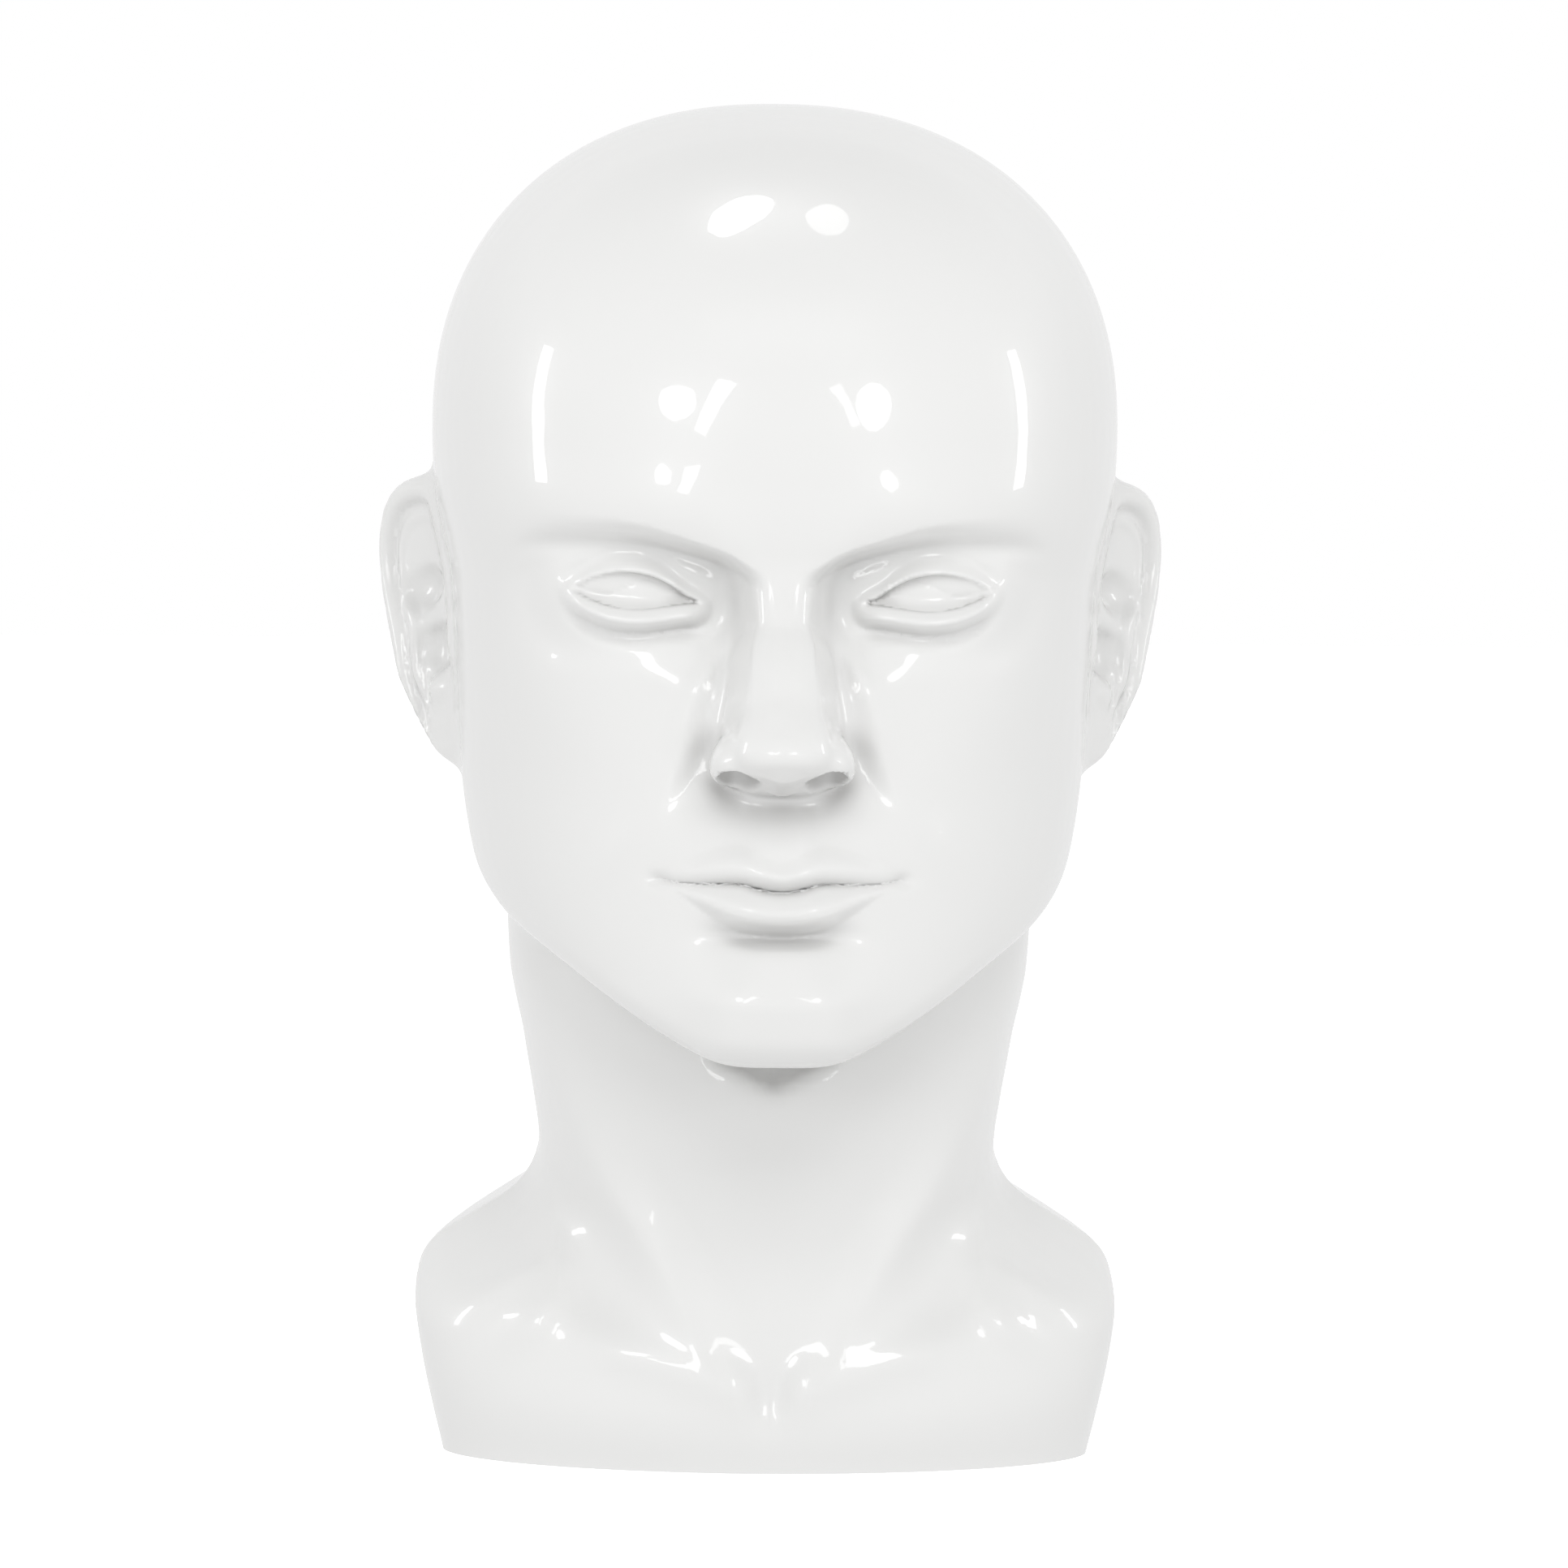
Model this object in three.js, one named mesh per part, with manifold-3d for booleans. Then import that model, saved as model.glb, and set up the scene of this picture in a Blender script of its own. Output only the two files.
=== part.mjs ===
// A glossy white male mannequin head on a short neck and collarbone base, moulded as one piece.
// Millimetres, +Z up, the face looks along -Y, and the origin is the middle of the flat underside.
//
// The surface is where a field is zero: negative inside the head, positive outside. The field joins a
// few large forms, lofted through named stations, with rounded primitives for the nose, ears and
// muscles. A net is laid over it, thinned out where it is nearly flat, and cut off flat at the base.
import * as THREE from "three";
import { mergeVertices } from "three/addons/utils/BufferGeometryUtils.js";
import Module from "manifold-3d";

// Driving dimensions
const HEIGHT = 315.5; // underside to crown
const WIDEST_Z = 240; // level of the widest part of the skull
const CROWN_POWER = 2.28; // 2 would be an ellipse: the crown is a little squarer
const NET_STEP = 2.4; // spacing of the first net
const TRIANGLES = 9900; // what the net is thinned to
const SINK = 12; // how far the body runs on below the underside before it is cut

const clamp = (v, low, high) => Math.min(high, Math.max(low, v));
const mix = (a, b, t) => a + (b - a) * t;

/** Joins two fields with a fillet about as wide as k. */
const join = (a, b, k) => {
  const h = Math.max(k - Math.abs(a - b), 0) / k;
  return Math.min(a, b) - (h * h * k) / 4;
};

/** Keeps what is inside both fields, with a rounded edge about as wide as k. */
const common = (a, b, k) => -join(-a, -b, k);

/** A smooth curve through [position, value] stations, level beyond both ends. */
function curve(stations) {
  const at = stations.map((s) => s[0]);
  const value = stations.map((s) => s[1]);
  const last = at.length - 1;
  const slope = at.map((_, i) =>
    i === 0 || i === last ? 0 : (value[i + 1] - value[i - 1]) / (at[i + 1] - at[i - 1]),
  );
  return (p) => {
    if (p <= at[0]) return value[0];
    if (p >= at[last]) return value[last];
    let i = 0;
    while (p > at[i + 1]) i++;
    const span = at[i + 1] - at[i];
    const t = (p - at[i]) / span;
    const t2 = t * t;
    const t3 = t2 * t;
    return (
      (2 * t3 - 3 * t2 + 1) * value[i] +
      (t3 - 2 * t2 + t) * span * slope[i] +
      (3 * t2 - 2 * t3) * value[i + 1] +
      (t3 - t2) * span * slope[i + 1]
    );
  };
}

/** A bell of height 1 at 0, one unit wide. */
const bell = (t) => Math.exp(-t * t);

/** Rises smoothly from 0 at low to 1 at high. */
function ramp(v, low, high) {
  const t = clamp((v - low) / (high - low), 0, 1);
  return t * t * (3 - 2 * t);
}

/** Field of an ellipsoid. */
function ellipsoid(x, y, z, centre, radii) {
  const px = x - centre[0];
  const py = y - centre[1];
  const pz = z - centre[2];
  const k0 = Math.hypot(px / radii[0], py / radii[1], pz / radii[2]);
  const k1 = Math.hypot(px / radii[0] ** 2, py / radii[1] ** 2, pz / radii[2] ** 2);
  return k1 < 1e-9 ? -Math.min(...radii) : (k0 * (k0 - 1)) / k1;
}

/** Field of a round bar that runs from a to b and changes radius on the way. */
function bar(x, y, z, a, b, ra, rb) {
  const bx = b[0] - a[0];
  const by = b[1] - a[1];
  const bz = b[2] - a[2];
  const px = x - a[0];
  const py = y - a[1];
  const pz = z - a[2];
  const t = clamp((px * bx + py * by + pz * bz) / (bx * bx + by * by + bz * bz), 0, 1);
  return Math.hypot(px - bx * t, py - by * t, pz - bz * t) - mix(ra, rb, t);
}

/** How far out a point is in a loft's cross-section: 0 in the middle and 1 on the outline. */
function plan(x, y, z, shape) {
  const centre = shape.centre(z);
  const front = y < centre;
  const depth = front ? shape.front(z) + centre : shape.back(z) - centre;
  const power = front ? shape.frontPower(z) : shape.backPower;
  const u = Math.abs(x) / shape.width(z);
  const v = Math.abs(y - centre) / Math.max(depth, 1);
  return (u ** power + v ** power) ** (1 / power);
}

/** Field of a loft of rounded cross-sections, which the given curves describe by height. */
function loft(x, y, z, shape) {
  return Math.hypot(x, y - shape.centre(z)) * (1 - 1 / Math.max(plan(x, y, z, shape), 1e-6));
}

// The skull and face, without relief. Width is half the width, front is how far it comes forward and
// back how far it goes back, and centre is where it is widest.
const HEAD = {
  width: curve([
    [96, 45], [112, 55.5], [122, 61.5], [130, 65.6], [140, 69.2], [150, 71.3], [160, 72.6],
    [185, 74.2], [207, 75.2], [224, 78], [WIDEST_Z, 80],
  ]),
  front: curve([[96, 86], [116, 90], [140, 88], [165, 86], [185, 85], [205, 87], [225, 92], [WIDEST_Z, 94]]),
  back: curve([[96, 0], [112, 14], [140, 48], [160, 68], [180, 83], [200, 93], [220, 98], [WIDEST_Z, 99]]),
  centre: curve([[96, -20], [112, -12], [140, -5], [160, 2], [200, 7], [WIDEST_Z, 8]]),
  frontPower: curve([
    [98, 2.25], [120, 2.05], [140, 1.98], [155, 2.04], [172, 2.16], [190, 2.25], [215, 2.45], [WIDEST_Z, 2.4],
  ]),
  backPower: 2.1,
};

// The underside of the jaw rises backwards from the chin.
const JAW = {
  chinZ: 97.4,
  chinY: -88,
  rise: 0.31,
  lift: curve([[0, 0], [14, 0.2], [26, 3], [38, 7], [50, 9.5], [66, 9]]), // added away from the middle
  hollow: [[0, -45.5, 94.8], [13, -44, 98.2]],
  hollowRadii: [5.6, 2],
};

const NECK = {
  width: curve([
    [20, 56], [50, 53.8], [72, 53.6], [84, 55.2], [92, 56.6], [99, 57.8], [106, 59.4], [114, 60.8], [130, 61.5],
  ]),
  front: curve([[0, 35], [20, 37], [40, 41], [60, 45], [80, 48.5], [100, 48], [130, 42]]),
  back: curve([[20, 70], [50, 67], [80, 61], [110, 57], [140, 58], [160, 60]]),
  centre: () => 10,
  frontPower: () => 2.15,
  backPower: 2.2,
  muscle: curve([[10, 1], [20, 7], [36, 14.5], [50, 22], [75, 38], [104, 50], [132, 57]]),
  muscleHeight: curve([[8, 1.5], [24, 4.2], [50, 4.2], [80, 3], [110, 1.8], [135, 0.5]]),
  muscleSpread: curve([[14, 15], [34, 11], [60, 9]]),
};

const CHEST = {
  width: curve([[-12, 73.4], [0, 75.6], [9, 77.8], [22, 80.7], [38, 82.9], [60, 82.9]]),
  front: curve([[-12, 38], [0, 40.5], [8, 43], [15, 44], [30, 43], [50, 41]]),
  back: curve([[-12, 62], [0, 64], [9, 66.5], [38, 70]]),
  centre: curve([[0, -3], [20, 0], [40, 5], [60, 10]]),
  frontPower: curve([[0, 1.95], [20, 2.2], [60, 2.5]]),
  backPower: 2.2,
  ridgeY: 16,
  ridgeZ: 65, // height of the shoulders beside the neck
};

// Places on the face, for the side with x > 0: the other side mirrors it. The curves of the brow go
// outwards from the middle of the face.
const BROW = {
  line: curve([[0, 209.5], [6, 210.6], [13, 214.4], [23, 217.6], [33, 220], [46, 219.8], [56, 217.4], [64, 213]]),
  edge: curve([[0, 4], [12, 3.8], [20, 3.8], [32, 5.5], [46, 9], [60, 13]]),
  height: curve([[0, 0.2], [12, 1.8], [25, 3.4], [40, 3], [55, 1.2], [66, 0]]),
  socketDepth: curve([
    [0, 0], [3.5, 0], [6, 3.5], [9, 10], [14, 12], [21, 9.8], [31, 7], [44, 4.8], [56, 2.6], [66, 0],
  ]),
};

const NOSE = {
  ridge: curve([
    [156, 97], [161, 102], [165, 109.5], [169, 112], [174, 109.8], [182, 105], [192, 99], [201, 93.4],
    [207, 89.8], [216, 87],
  ]),
  ridgeHalf: curve([[160, 8], [169, 8], [179, 7.2], [187, 6.6], [195, 6], [204, 4.6], [210, 5.2], [218, 9]]),
  flare: curve([[165, 0.28], [178, 0.32], [190, 0.32], [205, 0.24], [215, 0.5]]),
  topZ: 219,
  tip: [0, -103.2, 168.8],
  tipRadii: [9.6, 9.8, 7.8],
  wing: [11, -94, 168],
  wingRadii: [5.4, 9.8, 6.8],
  baseZ: 161.8,
  baseY: -93,
  baseRise: 0.32,
  columella: [[0, -105.5, 168.2], [0, -95, 164.2]],
  columellaRadius: 4.2,
  nostril: [10, -97, 162],
  nostrilRadii: [3.6, 6, 4.6],
};

const EYE = {
  ball: [31, -60.5, 206],
  ballRadii: [20, 18.5, 15],
  lid: 1.3, // thickness of the lids over the ball
  lidEdge: 2, // how far the opening is sunk
  globe: [32, -47.1, 213],
  globeRadii: [34, 30.4, 32],
  innerX: 18.6,
  outerX: 47.2,
  upperEdge: curve([
    [14, 202], [18.6, 203.7], [22, 205.2], [25.5, 207.7], [30, 209.7], [36, 210.4], [42.5, 209.1], [47.2, 206.5],
    [52, 203.5],
  ]),
  lowerEdge: curve([
    [14, 204.8], [18.6, 203.7], [22, 203.5], [27, 202.8], [32.4, 202.2], [38.4, 202.7], [43, 204.2], [47.2, 206.4],
    [52, 209],
  ]),
};

const MOUTH = {
  halfWidth: 27.2,
  meeting: curve([[0, 139.4], [4, 139.9], [9, 141.1], [15, 141], [22, 140.8], [28, 141.5], [34, 142]]),
  upperEdge: curve([[0, 143], [4, 144], [9, 145.6], [14, 145.3], [20, 144], [28, 142.4], [34, 142.8]]),
  lowerEdge: curve([
    [0, 130.8], [6, 131.2], [11, 132.6], [15, 134.6], [19, 136.6], [24, 139.2], [28, 140.8], [34, 141.6],
  ]),
  upperSlope: 0.46, // how far each lip swells for its height
  lowerSlope: 0.6,
  crease: 0.9,
};

/** How far the brow, sockets, cheeks, muzzle, lips and chin stand proud of the lofted face. */
function relief(ax, z) {
  const underBrow = BROW.line(ax) - z;
  const edge = BROW.edge(ax);
  const sunk = ramp(underBrow, -0.4 * edge, 0.8 * edge) * (1 - ramp(underBrow, 9, 34));
  const underFold = 2.2 * bell((underBrow - 3.4) / 2.6) * ramp(ax, 9, 16) * (1 - ramp(ax, 48, 64));
  const socket = -BROW.socketDepth(ax) * sunk - underFold;
  const brow = BROW.height(ax) * bell((underBrow + 5) / 7.5);
  const cheekbone = 3 * bell((ax - 50) / 17) * bell((z - 184) / 15);
  const muzzle = 5.5 * bell(ax / 27) * bell((z - 144) / 19);
  const fold = bell((ax - 34 + (z - 150) * 0.55) / 5) * bell((z - 152) / 13);
  const byWing = 1 - ramp(ax, 15 + 0.42 * (174 - z), 21.5 + 0.42 * (174 - z));
  const wingGroove = -2.1 * byWing * ramp(z, 153, 167) * (1 - ramp(z, 169, 178));
  const chin = 5.4 * bell((ax / 19) ** 2) * (1 - ramp(z, 117.5, 127.5)) * ramp(z, 92, 112);
  const underLip = -4.6 * bell((ax / 16) ** 2) * bell((z - 129.8) / 2.6);
  const philtrum = (0.3 * bell((ax - 4.8) / 2.6) - 0.5 * bell(ax / 3)) * bell((z - 150) / 7);
  const bones = brow + socket + cheekbone + chin;
  return bones + muzzle + fold + wingGroove + underLip + philtrum + lips(ax, z);
}

/** The two lips, as swellings above and below the line where they meet. */
function lips(ax, z) {
  const line = MOUTH.meeting(ax);
  const fade = Math.sqrt(clamp(1 - (ax / (MOUTH.halfWidth + 0.8)) ** 2, 0, 1));
  const gap = Math.abs(z - line);
  let swell;
  if (z > line) {
    const height = Math.max(MOUTH.upperEdge(ax) - line, 1.6);
    const up = (z - line) / height;
    swell = MOUTH.upperSlope * height * ramp(up, -0.3, 0.9) * (1 - ramp(up, 0.9, 2.1)) * (1 - ramp(ax, 18, 28));
  } else {
    const height = Math.max(line - MOUTH.lowerEdge(ax), 1.6);
    const down = (line - z) / height;
    swell = MOUTH.lowerSlope * height * ramp(down, -0.3, 0.6) * (1 - ramp(down, 0.7, 1.25));
    swell *= 1 - 0.8 * ramp(ax, 13, 26);
  }
  const crease = MOUTH.crease * Math.exp(-gap / 0.6) * (1 - ramp(ax, 24, 29));
  const corner = 1.4 * bell((ax - 27.6) / 2.4) * bell((z - 141.4) / 1.8);
  return swell * fade * (1 - Math.exp(-gap / 0.4)) - crease - corner;
}

/** The skull, with a domed crown, the face and the jaw. */
function headField(x, y, z) {
  const level = Math.min(z, WIDEST_Z);
  const over = z - level;
  const facing = z > 90 && z < 262 ? clamp((20 - y) / 60, 0, 1) : 0;
  const shifted = y + (facing > 0 ? relief(Math.abs(x), z) * facing : 0);
  const dome = over / (HEIGHT - WIDEST_Z);
  const g = (plan(x, shifted, level, HEAD) ** CROWN_POWER + dome ** CROWN_POWER) ** (1 / CROWN_POWER);
  const body = Math.hypot(x, shifted - HEAD.centre(level), over) * (1 - 1 / Math.max(g, 1e-6));
  const jawLine = JAW.chinZ + JAW.rise * (y - JAW.chinY) + JAW.lift(Math.abs(x));
  const underJaw = (jawLine - z) * 0.93;
  return common(body, underJaw, 9);
}

/** A straight nose with flat sides, a blunt tip, wings and nostrils, joined to the face. */
function addNose(face, x, y, z) {
  const ax = Math.abs(x);
  if (ax > 40 || y > -60 || z < 145 || z > 235) return face;
  const ridge = NOSE.ridge(z);
  const sides = (ax - NOSE.ridgeHalf(z) - NOSE.flare(z) * (ridge + y)) * 0.9;
  const body = common(common(-y - ridge, sides, 4.5), z - NOSE.topZ, 10);
  let nose = join(body, ellipsoid(x, y, z, NOSE.tip, NOSE.tipRadii), 8);
  nose = join(nose, ellipsoid(ax, y, z, NOSE.wing, NOSE.wingRadii), 3.5);
  nose = common(nose, NOSE.baseZ - NOSE.baseRise * (y - NOSE.baseY) - z, 3.5);
  nose = join(nose, bar(x, y, z, ...NOSE.columella, NOSE.columellaRadius, NOSE.columellaRadius), 2.5);
  nose = join(face, nose, mix(3, 13, ramp(z, 190, 206)));
  return common(nose, -ellipsoid(ax, y, z, NOSE.nostril, NOSE.nostrilRadii), 1.2);
}

/** Lids with a rolled lower edge, opened over a plain eyeball. */
function addEye(face, x, y, z) {
  const ax = Math.abs(x);
  if (ax < 8 || ax > 60 || y > -50 || z < 185 || z > 225) return face;
  const t = (ax - EYE.innerX) / (EYE.outerX - EYE.innerX);
  const along = ramp(t, -0.12, 0.12) * (1 - ramp(t, 0.9, 1.15));
  const above = z - EYE.upperEdge(ax);
  const below = EYE.lowerEdge(ax) - z;
  const upperRoll = 0.6 * bell((above - 0.8) / 1.2) - 0.7 * bell((above - 3.8) / 1.8);
  const band = 2.8 * ramp(below, -1.5, 2.6) * (1 - ramp(below, 2.8, 5.8));
  const lowerRoll = band - 1.2 * bell((below - 6.4) / 2);
  const skin = join(face, ellipsoid(ax, y, z, EYE.ball, EYE.ballRadii) - EYE.lid, 7);
  const lids = skin - (upperRoll + lowerRoll) * along;
  const depth = EYE.lidEdge * (0.25 + 0.75 * Math.sqrt(clamp(4 * t * (1 - t), 0, 1)));
  const back = Math.min(ellipsoid(ax, y, z, EYE.globe, EYE.globeRadii), skin + depth);
  const opening = Math.max(Math.max(above, below) * 0.85, -back, y - EYE.ball[1]);
  return common(lids, -opening, 0.8);
}

// The ear stands out from the side of the head. Its own axes are s, from its front root to its back
// rim, t, up its length, and h, out of its outer face.
const EAR = {
  centre: [77.9, 13, 194],
  turn: THREE.MathUtils.degToRad(37), // how far the back rim swings out
  lean: THREE.MathUtils.degToRad(14), // how far the top leans back
  halfLength: 33.4,
  halfWidth: 15.6,
  taper: 0.16,
  squareness: 2.45,
};

/** One ear, for x > 0. */
function earField(ax, y, z) {
  const px = ax - EAR.centre[0];
  const py = y - EAR.centre[1];
  const pz = z - EAR.centre[2];
  const along = px * Math.sin(EAR.turn) + py * Math.cos(EAR.turn);
  const h = px * Math.cos(EAR.turn) - py * Math.sin(EAR.turn);
  const s = along * Math.cos(EAR.lean) - pz * Math.sin(EAR.lean);
  const t = along * Math.sin(EAR.lean) + pz * Math.cos(EAR.lean);
  const spread = EAR.halfWidth * (1 + EAR.taper * clamp(t / EAR.halfLength, -1, 1));
  const out = Math.abs(s / spread) ** EAR.squareness + Math.abs(t / EAR.halfLength) ** EAR.squareness;
  const edge = Math.hypot(s, t) * (1 - 1 / Math.max(out ** (1 / EAR.squareness), 1e-6));
  const sheet = common(Math.abs(h + 0.5) - 2.3, edge, 3);
  const rimFade = clamp((t + 27) / 16, 0, 1) * clamp((s + 15) / 5, 0.45, 1);
  const helix = Math.hypot(edge + 2.6, h - 1.9) - 2.9 * rimFade;
  const ridgeFade = clamp((t + 20) / 8, 0, 1) * clamp((s + 7) / 6, 0, 1) * (1 - 0.7 * ramp(t, 2, 16));
  const antihelix = Math.hypot(edge + 8.6, h - 1.2) - 2.4 * ridgeFade;
  const root = ellipsoid(s, h, t, [-7, -7, -1], [11, 8, 22]);
  const lobe = ellipsoid(s, h, t, [-3, 0, -25], [9, 3.4, 8]);
  let ear = join(join(join(join(sheet, root, 6), helix, 2), antihelix, 2.5), lobe, 4);
  ear = common(ear, -ellipsoid(s, h, t, [1, 3.6, 8], [8.5, 5.2, 5]), 2);
  ear = common(ear, -ellipsoid(s, h, t, [-2, 3.4, -7], [8, 6.5, 6.4]), 2);
  const shelf = bar(s, h, t, [-12, 1, 1.5], [5, 0.6, -0.5], 2.2, 1.6);
  const frontRim = bar(s, h, t, [-13, 2, 2], [-9, 1.5, 24], 2.2, 2);
  const tragus = ellipsoid(s, h, t, [-11, 2, -7], [3.2, 3, 5]);
  const antitragus = ellipsoid(s, h, t, [0, 1.6, -16.5], [4.2, 2.8, 3]);
  return join(join(join(join(ear, shelf, 1.5), frontRim, 2.5), tragus, 2.5), antitragus, 2.5);
}

/** The neck, with the two muscles that run from behind the jaw to the notch of the breastbone. */
function neckField(x, y, z) {
  const outside = Math.abs(x) - NECK.muscle(z);
  const side = bell(Math.max(outside - 3, 0) / NECK.muscleSpread(z));
  const muscle = NECK.muscleHeight(z) * ramp(outside, -5, 4) * side;
  const facing = clamp((16 - y) / 30, 0, 1);
  return loft(x, y + (muscle - 1.5) * facing, z, NECK);
}

/** How far the collarbone and the edge of the shoulder muscle come forward. */
function chestRelief(ax, z) {
  const bone = 2.4 * bell((z - 21 - 0.3 * (ax - 8)) / 6) * ramp(ax, 2, 9) * (1 - ramp(ax, 34, 52));
  const notch = -1.6 * bell(ax / 4) * bell((z - 17) / 7);
  const across = (ax - 50) * 0.73 + (z - 44) * 0.68;
  const down = (ax - 50) * 0.68 - (z - 44) * 0.73;
  const groove = -1.8 * bell((across - 4) / 3.4) + 1.4 * bell((across + 3.5) / 4);
  return bone + notch + groove * bell((down - 9) / 12);
}

/** The cut-off shoulders, with a hollow over each collarbone. */
function chestField(x, y, z) {
  const ax = Math.abs(x);
  const facing = clamp((8 - y) / 20, 0, 1);
  const fall = 0.61 * Math.max(ax - 50, 0) + 0.4 * Math.max(CHEST.ridgeY - y, 0);
  const top = CHEST.ridgeZ - fall - 0.0015 * Math.max(y - CHEST.ridgeY, 0) ** 2;
  const body = common(loft(x, y + chestRelief(ax, z) * facing, z, CHEST), (z - top) * 0.82, 7);
  return common(body, -ellipsoid(ax, y, z, [41, -42, 49], [13, 14, 14]), 12);
}

/** The whole head, running on below its underside. */
function wholeField(x, y, z) {
  const ax = Math.abs(x);
  let field = headField(x, y, z);
  field = addNose(field, x, y, z);
  field = addEye(field, x, y, z);
  if (z < 165) field = join(field, neckField(x, y, z), 11);
  if (z < 95) field = join(field, chestField(x, y, z), 10);
  if (ax < 30 && y < 0 && z > 78 && z < 112) {
    field = common(field, -bar(ax, y, z, ...JAW.hollow, ...JAW.hollowRadii), 4);
  }
  if (ax > 50 && z > 145 && z < 245) field = join(field, earField(ax, y, z), 5);
  return Math.max(field, -SINK - z);
}

// The six tetrahedra of a cell, as corners whose three bits are steps along x, y and z.
const TETRAHEDRA = [[0, 1, 3, 7], [0, 2, 6, 7], [0, 4, 5, 7], [0, 3, 2, 7], [0, 6, 4, 7], [0, 5, 1, 7]];

/**
 * A closed net of triangles over the zero surface of a field. Each cell of a grid is divided into six
 * tetrahedra around its long diagonal, and each of those is cut where the field changes sign.
 */
function netOver(field, low, high, step) {
  const count = low.map((v, i) => Math.ceil((high[i] - v) / step) + 1);
  const stride = [1, count[0], count[0] * count[1]];
  const offset = [0, 1, 2, 3, 4, 5, 6, 7].map((c) => (c & 1) + ((c >> 1) & 1) * stride[1] + (c >> 2) * stride[2]);
  const place = (n) => {
    const k = Math.floor(n / stride[2]);
    const j = Math.floor((n % stride[2]) / stride[1]);
    return [low[0] + (n % stride[1]) * step, low[1] + j * step, low[2] + k * step];
  };
  const value = new Float64Array(count[0] * count[1] * count[2]);
  for (let n = 0; n < value.length; n++) value[n] = field(...place(n)) || 1e-6;

  const points = [];
  const known = new Map();
  /** The point where the surface crosses the edge between two corners of a cell. */
  const crossing = (cell, corners) => {
    const lower = Math.min(...corners);
    const upper = Math.max(...corners);
    const key = (cell + offset[lower]) * 8 + (upper - lower);
    if (known.has(key)) return known.get(key);
    const [a, b] = [cell + offset[lower], cell + offset[upper]];
    const [pa, pb] = [place(a), place(b)];
    const at = (t) => pa.map((v, i) => mix(v, pb[i], t));
    let [t0, v0, t1, v1] = [0, value[a], 1, value[b]];
    for (let round = 0; round < 2; round++) {
      const t = clamp(mix(t0, t1, v0 / (v0 - v1)), mix(t0, t1, 0.1), mix(t0, t1, 0.9));
      const v = field(...at(t));
      if (v < 0 === v0 < 0) [t0, v0] = [t, v];
      else [t1, v1] = [t, v];
    }
    points.push(at(clamp(v0 === v1 ? t0 : mix(t0, t1, v0 / (v0 - v1)), 0.05, 0.95)));
    known.set(key, points.length - 1);
    return points.length - 1;
  };

  const faces = [];
  const cutTetrahedron = (cell, corners) => {
    const inside = corners.map((c) => value[cell + offset[c]] < 0);
    const insideCount = inside.filter(Boolean).length;
    if (insideCount === 0 || insideCount === 4) return;
    const order = [0, 1, 2, 3].sort((m, n) => inside[n] - inside[m] || m - n);
    const swaps = order.reduce((sum, m, i) => sum + order.slice(i + 1).filter((n) => n < m).length, 0);
    if (swaps % 2) [order[2], order[3]] = insideCount === 3 ? [order[2], order[3]] : [order[3], order[2]];
    const [p, q, r, s] = order.map((n) => corners[n]);
    if (insideCount === 1) {
      faces.push([crossing(cell, [p, q]), crossing(cell, [p, r]), crossing(cell, [p, s])]);
    } else if (insideCount === 2) {
      const ring = [[p, r], [p, s], [q, s], [q, r]].map((edge) => crossing(cell, edge));
      faces.push([ring[0], ring[1], ring[2]], [ring[0], ring[2], ring[3]]);
    } else {
      const around = [[s, p], [s, q], [s, r]].map((edge) => crossing(cell, edge));
      faces.push(swaps % 2 ? [around[0], around[2], around[1]] : around);
    }
  };
  for (let k = 0; k < count[2] - 1; k++)
    for (let j = 0; j < count[1] - 1; j++)
      for (let i = 0; i < count[0] - 1; i++) {
        const cell = i + stride[1] * j + stride[2] * k;
        const first = value[cell] < 0;
        if (offset.every((o) => value[cell + o] < 0 === first)) continue;
        for (const corners of TETRAHEDRA) cutTetrahedron(cell, corners);
      }
  return { points, faces };
}

const minus = (a, b) => [a[0] - b[0], a[1] - b[1], a[2] - b[2]];
const cross = (a, b) => [a[1] * b[2] - a[2] * b[1], a[2] * b[0] - a[0] * b[2], a[0] * b[1] - a[1] * b[0]];
const dot = (a, b) => a[0] * b[0] + a[1] * b[1] + a[2] * b[2];

/** Squared distance to a sum of planes, which the ten numbers of a quadric hold. */
const quadricError = (q, [x, y, z]) =>
  q[0] * x * x + 2 * q[1] * x * y + 2 * q[2] * x * z + 2 * q[3] * x +
  q[4] * y * y + 2 * q[5] * y * z + 2 * q[6] * y + q[7] * z * z + 2 * q[8] * z + q[9];

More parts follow.
